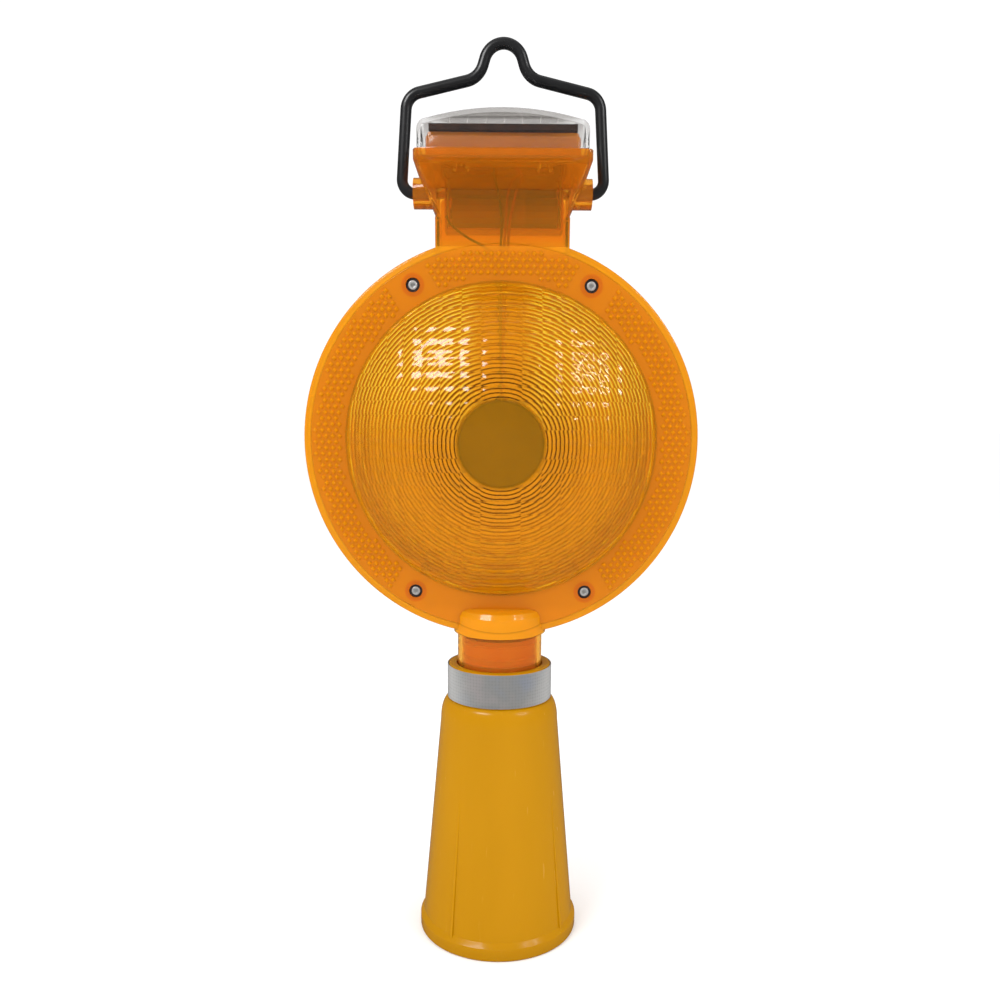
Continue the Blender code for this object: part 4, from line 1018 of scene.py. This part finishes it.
class Lenses(bpy.types.Operator):
    """Two amber lens shells with Fresnel rings inside, pillows outside and prism borders"""

    bl_idname = "cone_light.lenses"
    bl_label = "Lenses"

    def execute(self, context):
        lens, _ = settings()
        shell = self.shell(lens)
        studs = self.prisms(lens)
        turn = Matrix.Rotation(math.pi, 4, "Z")
        rear = copied(shell, "rear_lens_shell", turn)
        rear_studs = copied(studs, "rear_lens_prisms", turn)
        for _, x, z in corners_of_lens():
            seat = Vector((x, -SCREW_SEAT, z))
            combined(shell, rod_cutter("pocket", seat, (0, -1, 0), 0.0033, 0.02, 32), "DIFFERENCE")
            seat = Vector((x, SCREW_SEAT, z))
            combined(rear, rod_cutter("pocket", seat, (0, 1, 0), 0.0036, 0.02, 6), "DIFFERENCE")
        amber = FINISHES["amber_lens"]
        stands_for = ((shell, ["front_lens"]), (rear, ["rear_lens"]), (studs, []), (rear_studs, []))
        for piece, nodes in stands_for:
            softened(piece, 24)
            finished(piece, amber, "lamp_head", "amber_lens", *nodes)
        return {"FINISHED"}

    def shell(self, lens):
        """The front shell with its neck, screw bosses and half of the tube socket."""
        section = lens_section(lens.fresnel_rings, lens.tooth_depth)
        shell = turned("front_lens_shell", section, lens.sides, filled=True)
        self.raise_pillows(shell, lens)
        placed(shell, FACE_FORWARD)
        self.add_neck(shell)
        for _, x, z in corners_of_lens():
            length = RING_PLANE - 0.0010 + PAST_SEAM
            boss = rod_cutter("boss", (x, PAST_SEAM, z), (0, -1, 0), 0.0050, length)
            combined(shell, boss, "UNION")
        self.add_socket(shell)
        half_low = (-0.2, -SEAM_HALF, 0)
        combined(shell, block("far_half", half_low, (0.2, 0.2, 0.5)), "DIFFERENCE")
        for _, x, z in corners_of_lens():
            hole = rod_cutter("hole", (x, 0.002, z), (0, -1, 0), 0.0018, 0.02, 24)
            combined(shell, hole, "DIFFERENCE")
        return outward(shell)

    def raise_pillows(self, shell, lens):
        """Lifts the dome's face into pillows, fading out at the window and the border."""
        for corner in shell.data.vertices:
            x, z, depth = corner.co.x, corner.co.y, corner.co.z
            radius = math.hypot(x, z)
            on_face = WINDOW_RADIUS + 0.0005 < radius < DOME_RADIUS - 0.0001
            if on_face and depth > dome_depth(radius) - 0.0004:
                edge = min(1, (radius - WINDOW_RADIUS) / 0.003, (DOME_RADIUS - radius) / 0.0015)
                rise = lens.pillow_rise * edge * pillow_height(x, z, lens)
                slope = math.asin(radius / DOME_SPHERE)
                corner.co.z += rise * math.cos(slope)
                stretch = 1 + rise * math.sin(slope) / radius
                corner.co.x *= stretch
                corner.co.y *= stretch

    def add_neck(self, shell):
        """The flat neck over the head and the round-cornered plate in front of the hopper."""
        neck_low = (-NECK_HALF_X, -NECK_HALF_Y, NECK_FOOT_Z)
        neck = block("neck", neck_low, (NECK_HALF_X, PAST_SEAM, NECK_TOP_Z))
        combined(shell, neck, "UNION")
        plate_low = (-PLATE_HALF_X, -NECK_HALF_Y, NECK_TOP_Z - 0.006)
        plate = block("plate", plate_low, (PLATE_HALF_X, -NECK_HALF_Y + NECK_WALL, PLATE_TOP_Z))
        self.round_plate(plate)
        combined(shell, plate, "UNION")

    def add_socket(self, shell):
        """The round socket under the head, then the neck's cavity and the tube's bore."""
        foot = HEAD_CENTRE.z - HEAD_RADIUS + 0.0004
        socket_section = [
            (SOCKET_RADIUS, foot),
            (SOCKET_RADIUS, SOCKET_TOP_Z - 0.0036),
            (SOCKET_RADIUS - 0.0013, SOCKET_TOP_Z - 0.0011),
            (SOCKET_RADIUS - 0.0040, SOCKET_TOP_Z),
        ]
        combined(shell, turned("socket", socket_section, 96, filled=True), "UNION")
        cavity_half = NECK_HALF_X - 0.0020
        cavity_low = (-cavity_half, -NECK_HALF_Y + NECK_WALL, CAVITY_LOW_Z)
        cavity = block("cavity", cavity_low, (cavity_half, 0.003, NECK_TOP_Z + 0.001))
        combined(shell, cavity, "DIFFERENCE")
        bore, lip = TUBE_RADIUS + 0.0003, GROOVE_RADIUS + 0.0003
        bore_section = [
            (bore, foot - 0.02),
            (bore, GROOVE_Z + 0.0003),
            (lip, GROOVE_Z + 0.0003),
            (lip, GROOVE_TOP_Z - 0.0003),
            (bore, GROOVE_TOP_Z - 0.0003),
            (bore, TUBE_TOP_Z + 0.0006),
        ]
        combined(shell, turned("tube_bore", bore_section, 96, filled=True), "DIFFERENCE")

    def round_plate(self, plate):
        """Rounds the two upper corners of the neck plate."""
        activate(plate)
        bpy.ops.object.mode_set(mode="EDIT")
        bpy.ops.mesh.select_all(action="DESELECT")
        shape = bmesh.from_edit_mesh(plate.data)
        bpy.ops.mesh.select_mode(type="EDGE")
        for edge in shape.edges:
            ends = [corner.co for corner in edge.verts]
            upper = all(end.z > PLATE_TOP_Z - 0.001 for end in ends)
            edge.select_set(upper and abs(ends[0].x - ends[1].x) < 0.001)
        bmesh.update_edit_mesh(plate.data)
        bpy.ops.mesh.bevel(offset=0.0028, segments=8)
        bpy.ops.object.mode_set(mode="OBJECT")

    def prisms(self, lens):
        """Staggered rows of small four-sided prisms over the flat border."""
        half_width, buried = 0.00160, 0.0001
        deselect()
        bpy.ops.mesh.primitive_cone_add(
            vertices=4, radius1=half_width, radius2=0.0, depth=lens.prism_height + buried
        )
        stud = added("prism")
        placed(stud, Matrix.Translation((0, 0, (lens.prism_height - buried) / 2)))
        applied(stud)
        mesh = bmesh.new()
        rows = int(HEAD_RADIUS / lens.prism_pitch_z) + 1
        columns = int(HEAD_RADIUS / lens.prism_pitch_x) + 1
        for row in range(-rows, rows + 1):
            for column in range(-columns, columns + 1):
                x = (column + 0.5 * (row % 2)) * lens.prism_pitch_x
                z = row * lens.prism_pitch_z
                radius = math.hypot(x, z)
                if not RING_INNER + 0.0022 < radius < RING_OUTER - 0.0016 or in_screw_pad(x, z):
                    continue
                before = len(mesh.verts)
                mesh.from_mesh(stud.data)
                mesh.verts.ensure_lookup_table()
                bmesh.ops.translate(mesh, verts=mesh.verts[before:], vec=(x, z, RING_PLANE))
        bpy.data.objects.remove(stud)
        border = bpy.data.objects.new("front_lens_prisms", bpy.data.meshes.new("front_lens_prisms"))
        mesh.to_mesh(border.data)
        mesh.free()
        bpy.context.scene.collection.objects.link(border)
        return placed(border, FACE_FORWARD)


class LensScrews(bpy.types.Operator):
    """Four socket screws, each set in a black ring of painted shade in its counterbore, modelled once and
    copied to the corners
    """

    bl_idname = "cone_light.screws"
    bl_label = "Lens screws"

    def execute(self, context):
        seat = SCREW_SEAT + 0.0003
        top, bright = seat + 0.0022, 0.0021
        section = [
            (0.0015, -0.0114),
            (0.0015, seat),
            (bright, seat),
            *arc((bright - 0.0003, top - 0.0003), 0.0003, 0, 90, 4),
        ]
        screw = turned("screw", section, 40, filled=True)
        key = rod_cutter("key", (0, 0, top - 0.0014), (0, 0, 1), 0.0013, 0.004, 6)
        combined(screw, key, "DIFFERENCE")
        rounded(screw, 0.00005, 2, 50)
        softened(screw, 40)
        # Painted shade: a black ring fills the counterbore round each head, standing in for the shade of
        # the deep recess.
        shade_ring_top = top - 0.0004
        shade_ring_section = [
            (bright + 0.00005, seat),
            (bright + 0.00005, shade_ring_top),
            *arc((0.0029, shade_ring_top - 0.0003), 0.0003, 90, 0, 4),
            (0.0032, seat),
        ]
        collar = ring("collar", shade_ring_section, 40)
        softened(collar, 40)
        stand = Matrix.Rotation(math.pi / 2, 4, "X")
        for corner, x, z in corners_of_lens():
            place = Matrix.Translation((x, 0, z)) @ stand
            twin = copied(screw, f"socket_screw_{corner}", place)
            node = f"lens_screw_{corner}"
            finished(twin, FINISHES["zinc_steel"], "lamp_head", "zinc_steel", node)
            # The black ring of painted shade round this head.
            dark = copied(collar, f"screw_shade_ring_{corner}", place)
            finished(dark, FINISHES["black_plastic"], "lamp_head", "black_plastic")
        bpy.data.objects.remove(screw)
        bpy.data.objects.remove(collar)
        return {"FINISHED"}


class HopperAndTray(bpy.types.Operator):
    """Orange hopper with its ears, and the upstand that carries the panel"""

    bl_idname = "cone_light.hopper"
    bl_label = "Hopper and tray"

    def execute(self, context):
        hopper = rounded(from_solid("hopper_housing", "hopper_shell"), 0.00035, 2, 45)
        softened(hopper, 30)
        finished(hopper, FINISHES["orange_housing"], "lamp_head", "orange_housing", "hopper_housing")
        tray = rounded(from_solid("solar_tray", "panel_tray"), 0.0003, 2, 45)
        softened(tray, 30)
        finished(tray, FINISHES["tray_orange"], "lamp_head", "orange_housing", "solar_tray")
        return {"FINISHED"}


class SolarTop(bpy.types.Operator):
    """Solar panel with its wafers and the arched clear cover"""

    bl_idname = "cone_light.solar"
    bl_label = "Solar panel and cover"

    def execute(self, context):
        low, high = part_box("solar_panel")
        panel = block("panel_laminate", low, high)
        self.cut_wafers(panel, high.z)
        softened(panel, 30)
        finished(panel, FINISHES["panel_frame"], "lamp_head", "solar_cells", "solar_panel")
        panel.data.materials.append(FINISHES["solar_cells"])
        panel.data.materials.append(FINISHES["zinc_steel"])
        self.paint_wafers(panel, high.z)
        cover = rounded(from_solid("solar_cover", "cover_dome"), 0.0004, 3, 50)
        softened(cover, 30)
        finished(cover, FINISHES["clear_cover"], "lamp_head", "clear_cover", "solar_cover")
        return {"FINISHED"}

    def cut_wafers(self, panel, top_z):
        """Splits the panel's top into wafers with a narrow gap round each."""
        activate(panel)
        bpy.ops.object.mode_set(mode="EDIT")
        bpy.ops.mesh.select_mode(type="FACE")
        bpy.ops.mesh.select_all(action="DESELECT")
        self.select_top(panel, top_z)
        bpy.ops.mesh.inset(thickness=PANEL_BORDER, depth=0)
        bpy.ops.mesh.inset(thickness=0.0001, depth=-PANEL_SINK)
        bpy.ops.object.mode_set(mode="OBJECT")
        shape = bmesh.new()
        shape.from_mesh(panel.data)
        for axis, count, reach in (WAFERS_ACROSS, WAFERS_DEEP):
            for step in range(1, count):
                place = axis * (reach * (2 * step / count - 1))
                floor = self.sunk_faces(shape, top_z)
                edges = {edge for face in floor for edge in face.edges}
                geometry = [*floor, *edges]
                bmesh.ops.bisect_plane(shape, geom=geometry, plane_co=place, plane_no=axis)
        floor = self.sunk_faces(shape, top_z)
        bmesh.ops.inset_individual(shape, faces=floor, thickness=WAFER_GAP, depth=0.0001)
        shape.to_mesh(panel.data)
        shape.free()

    def sunk_faces(self, shape, top_z):
        """Level faces below the panel's rim."""
        level = [face for face in shape.faces if face.normal.z > 0.9]
        return [face for face in level if face.calc_center_median().z < top_z - 0.0002]

    def select_top(self, panel, top_z):
        shape = bmesh.from_edit_mesh(panel.data)
        for face in shape.faces:
            face.select_set(face.normal.z > 0.9 and face.calc_center_median().z > top_z - 0.0001)
        bmesh.update_edit_mesh(panel.data)

    def paint_wafers(self, panel, top_z):
        for face in panel.data.polygons:
            low_face = face.normal.z > 0.9 and face.center.z < top_z - 0.00015
            if low_face and face.area > 0.00002:
                face.material_index = 1
            elif low_face:
                face.material_index = 2


class Bail(bpy.types.Operator):
    """Bent black rod with its hanging loop"""

    bl_idname = "cone_light.bail"
    bl_label = "Bail"

    def execute(self, context):
        start = math.radians(LOOP_START)
        loop_foot = (LOOP_RADIUS * math.cos(start), LOOP_Z + LOOP_RADIUS * math.sin(start))
        right = [
            PIN_END,
            *self.fillet(PIN_END, BAIL_FOOT, BAIL_CORNER, FOOT_BEND),
            *self.fillet(BAIL_FOOT, BAIL_CORNER, BAIL_VALLEY, CORNER_BEND),
            *self.fillet(BAIL_CORNER, BAIL_VALLEY, loop_foot, VALLEY_BEND),
        ]
        loop = arc((0, LOOP_Z), LOOP_RADIUS, LOOP_START, 180 - LOOP_START, 40)
        left = [(-x, z) for x, z in reversed(right)]
        curve = bpy.data.curves.new("bail_rod", "CURVE")
        curve.dimensions = "3D"
        curve.bevel_depth = ROD_RADIUS
        curve.bevel_resolution = 7
        curve.use_fill_caps = True
        spline = curve.splines.new("POLY")
        route = [(x, 0, z, 1) for x, z in [*right, *loop, *left]]
        spline.points.add(len(route) - 1)
        for point, place in zip(spline.points, route):
            point.co = place
        rod = bpy.data.objects.new("bail_rod", curve)
        bpy.context.scene.collection.objects.link(rod)
        activate(rod)
        bpy.ops.object.convert(target="MESH")
        rod = added("bail_rod")
        outward(rod)
        softened(rod, 40)
        finished(rod, FINISHES["black_coated_rod"], "bail", "black_coated_rod", "bail")
        return {"FINISHED"}

    def fillet(self, before, corner, after, radius, count=12):
        """The bend at a corner between two straight stretches."""
        before, corner, after = Vector(before), Vector(corner), Vector(after)
        back, ahead = (before - corner).normalized(), (after - corner).normalized()
        half = back.angle(ahead) / 2
        centre = corner + (back + ahead).normalized() * radius / math.sin(half)
        first = corner + back * radius / math.tan(half) - centre
        last = corner + ahead * radius / math.tan(half) - centre
        start = math.atan2(first.y, first.x)
        sweep = (math.atan2(last.y, last.x) - start + math.pi) % (2 * math.pi) - math.pi
        return arc(centre, radius, math.degrees(start), math.degrees(start + sweep), count)


# CAD nodes that keep their own mesh, and the finish each one gets
KEPT_NODES = {
    "seal_rubber": ("lens_gasket_left", "lens_gasket_right", "switch_button"),
    "zinc_steel": (
        *(f"lens_nut_{row}_{side}" for row in ("lower", "upper") for side in ("left", "right")),
        *(f"tray_screw_{row}_{side}" for row in ("front", "rear") for side in ("left", "right")),
        "battery_spring_upper",
        "battery_spring_lower",
        "battery_contact_left",
        "battery_contact_right",
    ),
    "drum_brown": ("lamp_drum_front", "lamp_drum_rear"),
    "circuit_board": ("lamp_board",),
    "led_amber": tuple(f"led_{index}" for index in range(1, 9)),
    "cell_can": ("battery_cell_upper", "battery_cell_lower"),
    "orange_housing": ("battery_holder",),
    "red_wire": ("solar_wire_red", "battery_wire_red"),
    "black_wire": ("solar_wire_black", "battery_wire_black", "switch_wire"),
    "black_plastic": ("flasher_chip", "charge_chip", "board_capacitor", "switch_body", "switch_nut"),
}


class InnerParts(bpy.types.Operator):
    """Finishes of the battery, wires, lamp, switch and other solids that keep their shape"""

    bl_idname = "cone_light.inner_parts"
    bl_label = "Inner parts"

    def execute(self, context):
        for finish, nodes in KEPT_NODES.items():
            for node in nodes:
                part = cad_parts[node]
                for material_slot in part.material_slots:
                    material_slot.material = FINISHES[finish]
        return {"FINISHED"}


class Stage(bpy.types.Operator):
    """Pale floor, soft studio lights and camera"""

    bl_idname = "cone_light.stage"
    bl_label = "Stage"

    def execute(self, context):
        stage = context.scene.cone_light_stage
        self.floor(stage)
        self.sky(context.scene)
        self.light("key_panel", (-0.62, -0.70, 1.06), LIGHT_AIM, 0.56, 0.30, 6.5)
        self.light("top_panel", (0.0, 0.15, 1.5), (0, 0, 0.2), 1.0, 1.0, 1.0)
        self.ring_light()
        self.camera(context.scene, stage)
        context.scene.view_settings.view_transform = "Standard"
        return {"FINISHED"}

    def floor(self, stage):
        deselect()
        bpy.ops.mesh.primitive_circle_add(vertices=96, radius=stage.floor_radius, fill_type="NGON")
        floor = added("floor")
        finish = Finish("pale_floor", roughness=0.9, specular_ior_level=0.0)
        tone = finish.noise(3, 2.0)
        pale = finish.mix(tone, (0.95, 0.95, 0.95), (0.97, 0.97, 0.97))
        path = finish.node("ShaderNodeLightPath").outputs
        glossy = Channel(finish, path["Is Glossy Ray"])
        through = Channel(finish, path["Is Transmission Ray"])
        reflected = glossy * (1 - through)
        finish.set("Base Color", finish.mix(reflected, pale, (0.12, 0.12, 0.12)))
        floor.data.materials.append(finish.material)

    def sky(self, scene):
        """White behind, through and all round the object, and dim in its gloss."""
        world = bpy.data.worlds.new("studio")
        scene.world = world
        world.use_nodes = True
        tree = world.node_tree
        background = tree.nodes["Background"]
        background.inputs["Color"].default_value = (1, 1, 1, 1)
        path = tree.nodes.new("ShaderNodeLightPath")
        reflected = tree.nodes.new("ShaderNodeMath")
        reflected.operation = "SUBTRACT"
        reflected.use_clamp = True
        tree.links.new(path.outputs["Is Glossy Ray"], reflected.inputs[0])
        tree.links.new(path.outputs["Is Transmission Ray"], reflected.inputs[1])
        strength = tree.nodes.new("ShaderNodeMapRange")
        strength.inputs["To Min"].default_value = SKY_SEEN
        strength.inputs["To Max"].default_value = SKY_IN_GLOSS
        tree.links.new(reflected.outputs[0], strength.inputs["Value"])
        tree.links.new(strength.outputs[0], background.inputs["Strength"])

    def light(self, name, place, target, width, height, power):
        data = bpy.data.lights.new(name, "AREA")
        data.shape = "RECTANGLE"
        data.size = width
        data.size_y = height
        data.energy = power
        lamp = bpy.data.objects.new(name, data)
        lamp.location = place
        aim = Vector(target) - Vector(place)
        lamp.rotation_euler = aim.to_track_quat("-Z", "Y").to_euler()
        bpy.context.scene.collection.objects.link(lamp)

    def ring_light(self):
        """Small lamps set in a circle that faces the object."""
        facing = (LIGHT_AIM - RING_LIGHT_PLACE).to_track_quat("-Z", "Y")
        for index in range(RING_LAMPS):
            turn = 2 * math.pi * index / RING_LAMPS
            across, upward = RING_LIGHT_RADIUS * math.cos(turn), RING_LIGHT_RADIUS * math.sin(turn)
            offset = facing @ Vector((across, upward, 0))
            place, target = RING_LIGHT_PLACE + offset, LIGHT_AIM + offset
            self.light(f"ring_lamp_{index}", place, target, LAMP_SIZE, LAMP_SIZE, LAMP_POWER)

    def camera(self, scene, stage):
        data = bpy.data.cameras.new("camera")
        data.lens = stage.lens_length
        data.sensor_width = 36
        data.shift_y = 0.09
        data.clip_start = 0.01
        camera = bpy.data.objects.new("camera", data)
        camera.location = (0, -stage.distance, stage.camera_height)
        look = Matrix.Rotation(math.pi / 2 - stage.pitch, 4, "X") @ Matrix.Rotation(stage.roll, 4, "Z")
        camera.rotation_euler = look.to_euler()
        scene.collection.objects.link(camera)
        scene.camera = camera


class ConeLightPanel(bpy.types.Panel):
    """Lists the steps that build the light"""

    bl_idname = "VIEW3D_PT_cone_light"
    bl_label = "Solar cone light"
    bl_space_type = "VIEW_3D"
    bl_region_type = "UI"
    bl_category = "Cone light"

    def draw(self, context):
        for step in STEPS:
            self.layout.operator(step.bl_idname)


GROUPS = (
    ("cone_light_lens", LensSettings),
    ("cone_light_colours", ColourSettings),
    ("cone_light_stage", StageSettings),
)
STEPS = (
    ConeAdapter,
    CollarBand,
    MountTube,
    Lenses,
    LensScrews,
    HopperAndTray,
    SolarTop,
    Bail,
    InnerParts,
    Stage,
)


def register():
    for name, group in GROUPS:
        bpy.utils.register_class(group)
        setattr(bpy.types.Scene, name, bpy.props.PointerProperty(type=group))
    for step in STEPS:
        bpy.utils.register_class(step)
    bpy.utils.register_class(ConeLightPanel)


def unregister():
    bpy.utils.unregister_class(ConeLightPanel)
    for step in reversed(STEPS):
        bpy.utils.unregister_class(step)
    for name, group in reversed(GROUPS):
        delattr(bpy.types.Scene, name)
        bpy.utils.unregister_class(group)


def main():
    register()
    make_finishes()
    bpy.ops.cone_light.adapter()
    bpy.ops.cone_light.band()
    bpy.ops.cone_light.tube()
    bpy.ops.cone_light.lenses()
    bpy.ops.cone_light.screws()
    bpy.ops.cone_light.hopper()
    bpy.ops.cone_light.solar()
    bpy.ops.cone_light.bail()
    bpy.ops.cone_light.inner_parts()
    bpy.ops.cone_light.stage()
    deselect()


if __name__ == "__main__":
    main()
